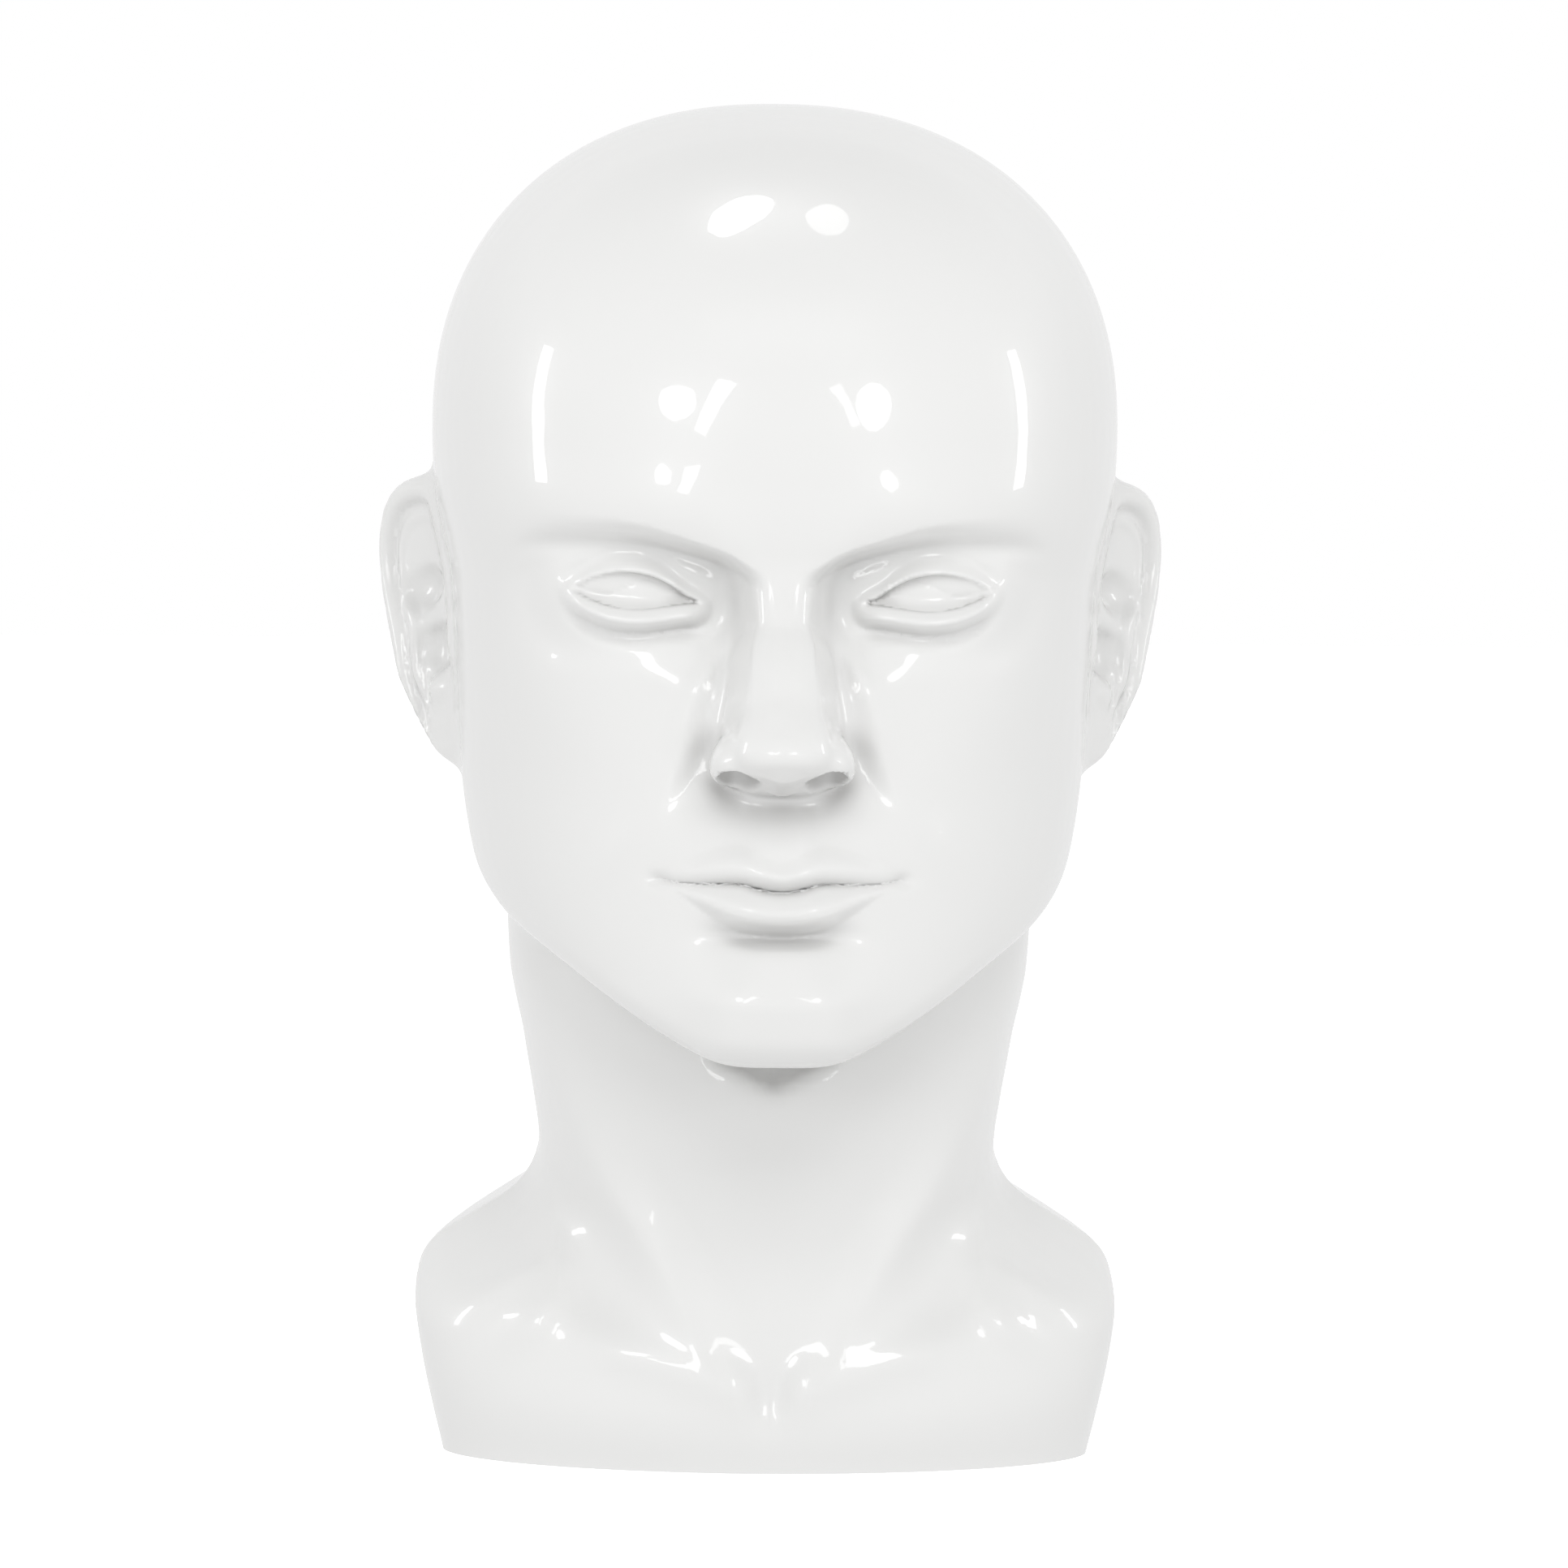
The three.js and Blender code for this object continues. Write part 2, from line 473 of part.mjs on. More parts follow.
/** Thins a closed mesh to a number of triangles, collapsing first the edges whose loss shows least. */
function thin({ points, faces }, target) {
  const around = points.map(() => new Set());
  const quadric = points.map(() => new Float64Array(10));
  faces.forEach((face, f) => {
    const [a, b, c] = face.map((v) => points[v]);
    const n = cross(minus(b, a), minus(c, a));
    const area = Math.hypot(...n) || 1e-12;
    const [nx, ny, nz] = n.map((v) => v / area);
    const d = -(nx * a[0] + ny * a[1] + nz * a[2]);
    const plane = [nx * nx, nx * ny, nx * nz, nx * d, ny * ny, ny * nz, ny * d, nz * nz, nz * d, d * d];
    for (const v of face) {
      around[v].add(f);
      plane.forEach((value, i) => (quadric[v][i] += value * area));
    }
  });
  const neighbours = (v) => new Set([...around[v]].flatMap((f) => faces[f]).filter((w) => w !== v));
  const stamp = new Uint32Array(points.length);
  const heap = [];
  const push = (entry) => {
    let i = heap.push(entry) - 1;
    while (i > 0) {
      const up = (i - 1) >> 1;
      if (heap[up].cost <= entry.cost) break;
      heap[i] = heap[up];
      i = up;
    }
    heap[i] = entry;
  };
  const pop = () => {
    const top = heap[0];
    const entry = heap.pop();
    if (!heap.length) return top;
    let i = 0;
    for (let down = 1; down < heap.length; down = 2 * i + 1) {
      if (down + 1 < heap.length && heap[down + 1].cost < heap[down].cost) down++;
      if (heap[down].cost >= entry.cost) break;
      heap[i] = heap[down];
      i = down;
    }
    heap[i] = entry;
    return top;
  };
  const pushEdge = (a, b) => {
    const sum = quadric[a].map((v, i) => v + quadric[b][i]);
    const middle = points[a].map((v, i) => (v + points[b][i]) / 2);
    const best = [points[a], points[b], middle].reduce((p, q) => (quadricError(sum, q) < quadricError(sum, p) ? q : p));
    const long = dot(minus(points[a], points[b]), minus(points[a], points[b]));
    push({ cost: quadricError(sum, best) + 0.002 * long * long, a, b, best, sum, sa: stamp[a], sb: stamp[b] });
  };
  points.forEach((_, v) => {
    for (const w of neighbours(v)) if (v < w) pushEdge(v, w);
  });
  const turnsOver = (v, gone, best) =>
    [...around[v]].some((f) => {
      if (faces[f].includes(gone)) return false;
      const before = faces[f].map((w) => points[w]);
      const after = faces[f].map((w) => (w === v ? best : points[w]));
      const n0 = cross(minus(before[1], before[0]), minus(before[2], before[0]));
      const n1 = cross(minus(after[1], after[0]), minus(after[2], after[0]));
      return dot(n0, n1) < 0.35 * Math.hypot(...n0) * Math.hypot(...n1);
    });
  let left = faces.length;
  while (left > target && heap.length) {
    const { a, b, best, sum, sa, sb } = pop();
    if (stamp[a] !== sa || stamp[b] !== sb) continue;
    const ringB = neighbours(b);
    const shared = [...neighbours(a)].filter((v) => ringB.has(v));
    if (shared.length !== 2 || turnsOver(a, b, best) || turnsOver(b, a, best)) continue;
    points[a] = best;
    quadric[a] = sum;
    for (const f of around[b]) {
      if (faces[f].includes(a)) {
        faces[f].forEach((v) => v !== b && around[v].delete(f));
        faces[f] = null;
        left--;
      } else {
        faces[f] = faces[f].map((v) => (v === b ? a : v));
        around[a].add(f);
      }
    }
    around[b] = new Set();
    stamp[b]++;
    stamp[a]++;
    for (const v of neighbours(a)) pushEdge(Math.min(a, v), Math.max(a, v));
  }
  return { points, faces: faces.filter(Boolean) };
}

/** A three.js geometry from points and faces. */
function geometryOf({ points, faces }) {
  const geometry = new THREE.BufferGeometry();
  geometry.setAttribute("position", new THREE.Float32BufferAttribute(faces.flat().flatMap((v) => points[v]), 3));
  return geometry;
}

const wasm = await Module();
wasm.setup();

/** A manifold-3d solid from a closed geometry. */
function solidOf(geometry) {
  const bare = geometry.clone();
  bare.deleteAttribute("normal");
  bare.deleteAttribute("uv");
  const merged = mergeVertices(bare);
  return new wasm.Manifold(
    new wasm.Mesh({
      numProp: 3,
      vertProperties: new Float32Array(merged.attributes.position.array),
      triVerts: new Uint32Array(merged.index.array),
    }),
  );
}

/** The geometry of a manifold-3d solid. */
function geometryOfSolid(solid) {
  const { vertProperties, triVerts } = solid.getMesh();
  return new THREE.BufferGeometry()
    .setAttribute("position", new THREE.Float32BufferAttribute(vertProperties, 3))
    .setIndex(new THREE.BufferAttribute(triVerts, 1));
}

/** The moulded head: the thinned net, cut off flat at its underside. */
function mouldedHead() {
  const net = netOver(wholeField, [-98, -122, -SINK - 4], [98, 108, HEIGHT + 6], NET_STEP);
  const thinned = thin(net, TRIANGLES);
  const run = solidOf(geometryOf(thinned));
  const below = new THREE.BoxGeometry(400, 400, 100).translate(0, 0, -50);
  const geometry = geometryOfSolid(run.subtract(solidOf(below)));
  geometry.computeBoundingBox();
  const middle = geometry.boundingBox.getCenter(new THREE.Vector3());
  geometry.translate(-middle.x, -middle.y, 0);
  geometry.computeVertexNormals();
  return geometry;
}

const glossWhite = new THREE.MeshStandardMaterial({ color: 0xececec, roughness: 0.08, metalness: 0 });
const head = new THREE.Mesh(mouldedHead(), glossWhite);
head.name = "mannequin_head";

const mannequin = new THREE.Group();
mannequin.add(head);
export default mannequin;
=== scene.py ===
"""A glossy white male mannequin head on a neck and collarbone base, in a white studio.

The head is one moulded and lacquered shell. Its surface is where a field is zero: negative inside,
positive outside. The field joins a few large forms, lofted through named stations, with rounded
masses for the nose, the lids and the ears, and a relief for the rest. A fine net is laid over it.

Sizes of the form are in millimetres and the scene is in metres. +Z is up, the face looks along -Y.
"""

from __future__ import annotations

import logging
import math
from dataclasses import dataclass
from enum import Enum
from typing import Sequence

import bmesh
import bpy
import numpy as np
from mathutils import Matrix, Quaternion, Vector

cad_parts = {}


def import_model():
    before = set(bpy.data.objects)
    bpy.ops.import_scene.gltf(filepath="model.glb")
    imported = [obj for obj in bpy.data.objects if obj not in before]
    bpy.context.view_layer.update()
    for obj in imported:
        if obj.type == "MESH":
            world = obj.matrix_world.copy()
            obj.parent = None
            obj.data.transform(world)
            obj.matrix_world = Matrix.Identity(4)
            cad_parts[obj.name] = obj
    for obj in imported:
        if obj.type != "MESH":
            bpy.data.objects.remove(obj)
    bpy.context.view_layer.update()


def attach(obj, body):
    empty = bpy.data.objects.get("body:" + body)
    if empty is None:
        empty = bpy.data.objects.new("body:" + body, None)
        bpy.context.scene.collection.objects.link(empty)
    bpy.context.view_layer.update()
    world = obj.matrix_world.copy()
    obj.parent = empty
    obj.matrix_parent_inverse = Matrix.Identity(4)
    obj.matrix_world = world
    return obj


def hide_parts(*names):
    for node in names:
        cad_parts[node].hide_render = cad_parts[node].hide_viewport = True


log = logging.getLogger("mannequin")

MM = 0.001
FAR = math.inf
# Name of the vertex attribute that carries the painted shade in recesses
PAINTED_SHADE_ATTRIBUTE = "painted_shade"

# Floors under what is divided by: for slopes and lengths, and for the middle of a cross-section
TINY = 1e-9
SMALL = 1e-6

Array = np.ndarray
Point = tuple[float, float, float]
Span = tuple[float, float]
Marks = tuple[float, float, float, float]


# Shape functions

def mix(a: Array | float, b: Array | float, t: Array | float) -> Array | float:
    """Goes from a to b as t goes from 0 to 1."""
    return a + (b - a) * t


def join(a: Array, b: Array, k: float) -> Array:
    """Joins two fields with a fillet about as wide as k."""
    h = np.maximum(k - np.abs(a - b), 0) / k
    return np.minimum(a, b) - h * h * k / 4


def common(a: Array, b: Array, k: float) -> Array:
    """Keeps what is inside both fields, with a rounded edge about as wide as k."""
    return -join(-a, -b, k)


def bell(t: Array) -> Array:
    """A bell of height 1 at 0 and about one unit wide."""
    return np.exp(-t * t)


def linear(t: Array, low: Array | float, high: Array | float) -> Array:
    """Goes evenly from 0 at low to 1 at high, which may be the smaller of the two."""
    return np.clip((t - low) / (high - low), 0, 1)


def ramp(t: Array, low: Array | float, high: Array | float) -> Array:
    """Rises smoothly from 0 at low to 1 at high."""
    t = linear(t, low, high)
    return t * t * (3 - 2 * t)


def between(t: Array, marks: Marks) -> Array:
    """Rises smoothly from 0 to 1 between the first two marks, and falls back between the last two."""
    start, full, fading, end = marks
    return ramp(t, start, full) * (1 - ramp(t, fading, end))


class Curve:
    """A smooth curve through stations, level beyond both ends."""

    def __init__(self, *stations: Span) -> None:
        """Takes the stations.

        Args:
            stations: Pairs of a position and the value there, in rising order of position.
        """
        self.at = np.array([s[0] for s in stations], float)
        self.value = np.array([s[1] for s in stations], float)
        self.slope = np.zeros(len(stations))
        rise = self.value[2:] - self.value[:-2]
        self.slope[1:-1] = rise / (self.at[2:] - self.at[:-2])

    def __call__(self, p: Array) -> Array:
        """Reads the curve.

        Args:
            p: Positions.

        Returns:
            The values there.
        """
        p = np.clip(p, self.at[0], self.at[-1])
        i = np.clip(np.searchsorted(self.at, p, side="right") - 1, 0, len(self.at) - 2)
        span = self.at[i + 1] - self.at[i]
        t = (p - self.at[i]) / span
        t2 = t * t
        t3 = t2 * t
        start = (2 * t3 - 3 * t2 + 1) * self.value[i] + (t3 - 2 * t2 + t) * span * self.slope[i]
        end = (3 * t2 - 2 * t3) * self.value[i + 1] + (t3 - t2) * span * self.slope[i + 1]
        return start + end


@dataclass(frozen=True)
class Line:
    """A straight line: its value at one position, and its slope."""

    value: float
    position: float
    slope: float

    def __call__(self, p: Array) -> Array:
        """Reads the line at positions p."""
        return self.value + self.slope * (p - self.position)


@dataclass(frozen=True)
class Swell:
    """A rounded swelling along one line, or a hollow where its height is negative."""

    height: float
    middle: float
    spread: float

    def __call__(self, p: Array) -> Array:
        """Gives its height at positions p."""
        return self.height * bell((p - self.middle) / self.spread)


@dataclass(frozen=True)
class Bump:
    """A rounded bump on a face, or a hollow where its height is negative."""

    height: float
    x: float
    x_spread: float
    z: float
    z_spread: float

    def __call__(self, ax: Array, z: Array) -> Array:
        """Gives its height at ax across and z up."""
        return self.height * bell((ax - self.x) / self.x_spread) * bell((z - self.z) / self.z_spread)


@dataclass(frozen=True)
class Egg:
    """A rounded mass or hollow: its middle, its half-axes and the fillet where it meets the form."""

    centre: Point
    radii: Point
    fillet: float = 0.0

    def field(self, x: Array, y: Array, z: Array) -> Array:
        """Gives the field of the egg.

        Args:
            x, y, z: Where to read the field.

        Returns:
            The field.
        """
        away = [p - c for p, c in zip((x, y, z), self.centre)]
        k0 = np.sqrt(sum((p / r) ** 2 for p, r in zip(away, self.radii)))
        k1 = np.sqrt(sum((p / r ** 2) ** 2 for p, r in zip(away, self.radii)))
        return np.where(k1 < TINY, -min(self.radii), k0 * (k0 - 1) / np.maximum(k1, TINY))


@dataclass(frozen=True)
class Rod:
    """A round rod that may taper, and the fillet where it meets the form."""

    start: Point
    end: Point
    start_radius: float
    end_radius: float
    fillet: float

    def field(self, x: Array, y: Array, z: Array) -> Array:
        """Gives the field of the rod.

        Args:
            x, y, z: Where to read the field.

        Returns:
            The field.
        """
        bx, by, bz = (e - s for s, e in zip(self.start, self.end))
        px, py, pz = x - self.start[0], y - self.start[1], z - self.start[2]
        t = np.clip((px * bx + py * by + pz * bz) / (bx * bx + by * by + bz * bz), 0, 1)
        away = np.sqrt((px - bx * t) ** 2 + (py - by * t) ** 2 + (pz - bz * t) ** 2)
        return away - mix(self.start_radius, self.end_radius, t)


@dataclass(frozen=True)
class Room:
    """The space in which a feature is worked out: how far it goes to the side, in depth and in height."""

    side: Span = (-FAR, FAR)
    depth: Span = (-FAR, FAR)
    height: Span = (-FAR, FAR)

    def holds(self, ax: Array, y: Array, z: Array) -> Array:
        """Says which places lie in the room.

        Args:
            ax: Distance from the middle plane.
            y, z: The rest of the place.

        Returns:
            True where the place lies in it.
        """
        across = (ax > self.side[0]) & (ax < self.side[1])
        deep = (y > self.depth[0]) & (y < self.depth[1])
        high = (z > self.height[0]) & (z < self.height[1])
        return across & deep & high


def hex_colour(code: str) -> tuple[float, float, float, float]:
    """Turns an sRGB hex colour into linear values.

    Args:
        code: Six hex digits.

    Returns:
        Linear red, green, blue and an alpha of 1.
    """
    channels = (int(code[i:i + 2], 16) / 255 for i in (0, 2, 4))
    linear = [c / 12.92 if c <= 0.04045 else ((c + 0.055) / 1.055) ** 2.4 for c in channels]
    return linear[0], linear[1], linear[2], 1.0


# The form of the head, in millimetres

@dataclass(frozen=True)
class Loft:
    """A stack of rounded cross-sections, described by height."""

    width: Curve
    front: Curve
    back: Curve
    centre: Curve
    front_power: Curve
    back_power: Curve

    def plan(self, x: Array, y: Array, z: Array) -> Array:
        """Says how far out a point is in its cross-section: 1 on the outline.

        Args:
            x, y: The point in plan.
            z: Its height.

        Returns:
            0 in the middle, 1 on the outline and more outside.
        """
        centre = self.centre(z)
        ahead = y < centre
        depth = np.where(ahead, self.front(z) + centre, self.back(z) - centre)
        power = np.where(ahead, self.front_power(z), self.back_power(z))
        u = np.abs(x) / self.width(z)
        v = np.abs(y - centre) / np.maximum(depth, 1)
        return (u ** power + v ** power) ** (1 / power)

    def field(self, x: Array, y: Array, z: Array) -> Array:
        """Gives the field of the loft."""
        g = self.plan(x, y, z)
        return np.hypot(x, y - self.centre(z)) * (1 - 1 / np.maximum(g, SMALL))


@dataclass(frozen=True)
class Skull:
    """The skull and jaw, before any feature: a loft with a domed crown, cut off under the jaw."""

    height: float = 315.5
    widest_z: float = 240.0
    crown_power: float = 2.23
    jaw_line: Line = Line(97.4, -88, 0.31)
    jaw_lift: Curve = Curve((0, 0), (14, 0.2), (26, 3), (38, 7), (50, 9.5), (66, 9))
    jaw_steepness: float = 0.93
    jaw_edge: float = 9.0
    outline: Loft = Loft(
        width=Curve((96, 45), (112, 55.5), (122, 61.5), (130, 65.6), (140, 69.2), (150, 71.3),
                    (160, 72.6), (185, 74.2), (207, 75.6), (224, 79), (240, 80)),
        front=Curve((96, 86), (116, 90), (140, 88), (165, 86), (185, 85), (205, 87.4), (225, 93),
                    (240, 94)),
        back=Curve((96, 0), (112, 14), (140, 48), (160, 68), (180, 83), (200, 93), (220, 98), (240, 99)),
        centre=Curve((96, -20), (112, -12), (140, -5), (160, 2), (200, 7), (240, 8)),
        front_power=Curve((98, 2.25), (120, 2.05), (140, 1.98), (155, 2.04), (172, 2.16), (190, 2.25),
                          (215, 2.45), (240, 2.4)),
        back_power=Curve((100, 2.1), (240, 2.1)),
    )

    def field(self, x: Array, y: Array, z: Array, proud: Array) -> Array:
        """Gives the field of the skull and face.

        Args:
            x, y, z: Where to read the field.
            proud: How far the face's relief comes forward there.

        Returns:
            The field.
        """
        level = np.minimum(z, self.widest_z)
        over = z - level
        shifted = y + proud
        plan = self.outline.plan(x, shifted, level)
        dome = over / (self.height - self.widest_z)
        g = (plan ** self.crown_power + dome ** self.crown_power) ** (1 / self.crown_power)
        away = np.sqrt(x * x + (shifted - self.outline.centre(level)) ** 2 + over ** 2)
        body = away * (1 - 1 / np.maximum(g, SMALL))
        under_jaw = (self.jaw_line(y) + self.jaw_lift(np.abs(x)) - z) * self.jaw_steepness
        return common(body, under_jaw, self.jaw_edge)


@dataclass(frozen=True)
class Lips:
    """The two lips, as swellings above and below the line where they meet.

    Each lip's round is marked in heights of the lip, measured from that line.
    """

    half_width: float = 28.0
    meeting: Curve = Curve((0, 139.4), (4, 139.9), (9, 141.1), (15, 141), (22, 140.8), (28, 141.5),
                           (34, 142))
    upper_edge: Curve = Curve((0, 143), (4, 144), (9, 145.6), (14, 145.3), (20, 144), (28, 142.4),
                              (34, 142.8))
    lower_edge: Curve = Curve((0, 130.8), (6, 131.2), (11, 132.6), (15, 134.6), (19, 136.6), (24, 139.2),
                              (28, 140.8), (34, 141.6))
    least_height: float = 1.6
    upper_slope: float = 0.46
    upper_round: Marks = (-0.3, 0.9, 0.9, 2.1)
    upper_fade: Span = (18, 28)
    lower_slope: float = 0.6
    lower_round: Marks = (-0.3, 0.6, 0.7, 1.25)
    lower_fade: Span = (13, 26)
    lower_loss: float = 0.8
    seam_width: float = 0.4
    crease: float = 1.5
    crease_width: float = 0.8
    crease_fade: Span = (25, 29)
    corner: Bump = Bump(-1.4, 27.6, 2.4, 141.4, 1.8)

    def proud(self, ax: Array, z: Array) -> Array:
        """Says how far the lips come forward.

        Args:
            ax: Distance from the middle plane.
            z: Height.

        Returns:
            The relief in millimetres.
        """
        line = self.meeting(ax)
        fade = np.sqrt(np.clip(1 - (ax / self.half_width) ** 2, 0, 1))
        upper_height = np.maximum(self.upper_edge(ax) - line, self.least_height)
        lower_height = np.maximum(line - self.lower_edge(ax), self.least_height)
        upper = self.upper_slope * upper_height * between((z - line) / upper_height, self.upper_round)
        upper = upper * (1 - ramp(ax, *self.upper_fade))
        lower = self.lower_slope * lower_height * between((line - z) / lower_height, self.lower_round)
        lower = lower * (1 - self.lower_loss * ramp(ax, *self.lower_fade))
        gap = np.abs(z - line)
        swell = np.where(z > line, upper, lower) * fade * (1 - np.exp(-gap / self.seam_width))
        crease = self.crease * np.exp(-gap / self.crease_width) * (1 - ramp(ax, *self.crease_fade))
        return swell - crease + self.corner(ax, z)


@dataclass(frozen=True)
class Relief:
    """The brow, sockets, cheeks, muzzle and chin, as a relief on the front of the skull.

    The brow's swell and fold are placed by how far they are below the brow line.
    """

    brow_line: Curve = Curve((0, 209.5), (6, 210.6), (13, 214.4), (23, 217.6), (33, 220), (46, 220.3),
                             (56, 219.6), (64, 217.5))
    brow_edge: Curve = Curve((0, 4), (12, 3.8), (20, 3.8), (32, 5.5), (46, 9), (60, 13))
    brow_height: Curve = Curve((0, 0.2), (12, 0.9), (25, 1.4), (40, 1.3), (55, 0.7), (66, 0))
    brow: Swell = Swell(1.0, -5, 9)
    brow_fold: Swell = Swell(-2.2, 3.4, 2.6)
    brow_fold_across: Marks = (9, 16, 48, 64)
    socket_depth: Curve = Curve((0, 0), (3.5, 0), (6, 3.5), (9, 10), (14, 12), (21, 9.8), (31, 7),
                                (44, 4.8), (56, 2.6), (66, 0))
    socket_edge: Span = (-0.4, 0.8)
    socket_foot: Span = (9, 34)
    cheekbone: Bump = Bump(3.0, 50, 17, 184, 15)
    muzzle: Bump = Bump(5.5, 0, 27, 144, 19)
    cheek_fold: Bump = Bump(1.0, 0, 5, 152, 13)
    cheek_fold_line: Line = Line(34, 150, -0.55)
    wing_groove: float = -2.1
    wing_line: Line = Line(15, 174, -0.42)
    wing_groove_edge: float = 6.5
    wing_groove_up: Marks = (153, 167, 169, 178)
    tear_line: Curve = Curve((168, 24), (178, 21.5), (185, 19), (192, 14.5), (200, 10))
    tear_fold: Swell = Swell(1.1, 0, 3.2)
    tear_fold_up: Marks = (166, 177, 193, 203)
    chin_height: float = 6.2
    chin_half_width: float = 20.0
    chin_squareness: float = 1.5
    chin_pad: Swell = Swell(0.9, 12, 5.5)
    chin_up: Marks = (90, 107, 113, 128.5)
    under_lip: Swell = Swell(-4.4, 129.4, 3.1)
    under_lip_half_width: float = 16.0
    philtrum: tuple[Bump, ...] = (Bump(0.15, 5, 2.8, 150, 7), Bump(-0.3, 0, 3.2, 150, 7))
    over_lip: Swell = Swell(1.6, 0, 12)
    over_lip_up: Marks = (139, 144, 146, 159)
    lips: Lips = Lips()

    def proud(self, ax: Array, z: Array) -> Array:
        """Says how far the face comes forward of the loft.

        Args:
            ax: Distance from the middle plane.
            z: Height.

        Returns:
            The relief in millimetres.
        """
        below = self.brow_line(ax) - z
        start, full = (self.brow_edge(ax) * share for share in self.socket_edge)
        brow = self.brow_height(ax) * self.brow(below)
        sunk = ramp(below, start, full) * (1 - ramp(below, *self.socket_foot))
        socket = self.brow_fold(below) * between(ax, self.brow_fold_across) - self.socket_depth(ax) * sunk
        fold = self.cheek_fold(ax - self.cheek_fold_line(z), z)
        by_wing = self.wing_line(z)
        groove = self.wing_groove * (1 - ramp(ax, by_wing, by_wing + self.wing_groove_edge))
        groove = groove * between(z, self.wing_groove_up)
        tear_fold = self.tear_fold(ax - self.tear_line(z)) * between(z, self.tear_fold_up)
        chin = self.chin_height * bell((ax / self.chin_half_width) ** self.chin_squareness)
        chin = (chin + self.chin_pad(ax)) * between(z, self.chin_up)
        under_lip = self.under_lip(z) * bell((ax / self.under_lip_half_width) ** 2)
        over_lip = self.over_lip(ax) * between(z, self.over_lip_up)
        over_lip = over_lip + sum(bump(ax, z) for bump in self.philtrum)
        bones = brow + socket + self.cheekbone(ax, z) + chin + tear_fold
        soft = self.muzzle(ax, z) + fold + groove + under_lip + over_lip
        return bones + soft + self.lips.proud(ax, z)


@dataclass(frozen=True)
class Nose:
    """A straight nose with flat sides, a blunt tip, wings and open nostrils."""

    room: Room = Room(side=(-1, 40), depth=(-FAR, -60), height=(145, 235))
    ridge: Curve = Curve((156, 90), (161, 94), (165, 99), (169, 103.4), (174, 106), (178, 105.8),
                         (182, 104.2), (192, 99), (201, 93.4), (207, 89.8), (216, 87))
    ridge_half: Curve = Curve((160, 8.0), (169, 8.0), (179, 7.2), (187, 6.6), (195, 6), (204, 4.6),
                              (210, 5.2), (218, 9))
    ridge_edge: float = 4.5
    flare: Curve = Curve((165, 0.28), (178, 0.32), (190, 0.32), (205, 0.24), (215, 0.5))
    side_steepness: float = 0.9
    top_z: float = 219.0
    top_edge: float = 10.0
    tip: Egg = Egg((0, -102.6, 170.4), (10.4, 9.8, 8.0), 7)
    wing: Egg = Egg((11, -94, 168), (5.4, 9.8, 6.8), 3.5)
    base: Line = Line(161.8, -93, -0.32)
    base_edge: float = 5.5
    columella: Rod = Rod((0, -104.5, 169.0), (0, -93, 165.2), 3.7, 3.7, 2.5)
    nostril: Egg = Egg((10.0, -96.6, 163.6), (4.6, 7.4, 8.4), 1.2)
    root_up: Span = (190, 206)
    root_fillets: Span = (3, 13)

    def add(self, face: Array, ax: Array, y: Array, z: Array) -> Array:
        """Joins the nose to the face and opens its nostrils.

        Args:
            face: The field so far.
            ax: Distance from the middle plane.
            y, z: The rest of the place.

        Returns:
            The new field.
        """
        ridge = self.ridge(z)
        sides = (ax - self.ridge_half(z) - self.flare(z) * (ridge + y)) * self.side_steepness
        nose = common(-y - ridge, sides, self.ridge_edge)
        nose = common(nose, z - self.top_z, self.top_edge)
        for swelling in (self.tip, self.wing):
            nose = join(nose, swelling.field(ax, y, z), swelling.fillet)
        nose = common(nose, self.base(y) - z, self.base_edge)
        nose = join(nose, self.columella.field(ax, y, z), self.columella.fillet)
        nose = join(face, nose, mix(*self.root_fillets, ramp(z, *self.root_up)))
        return common(nose, -self.nostril.field(ax, y, z), self.nostril.fillet)


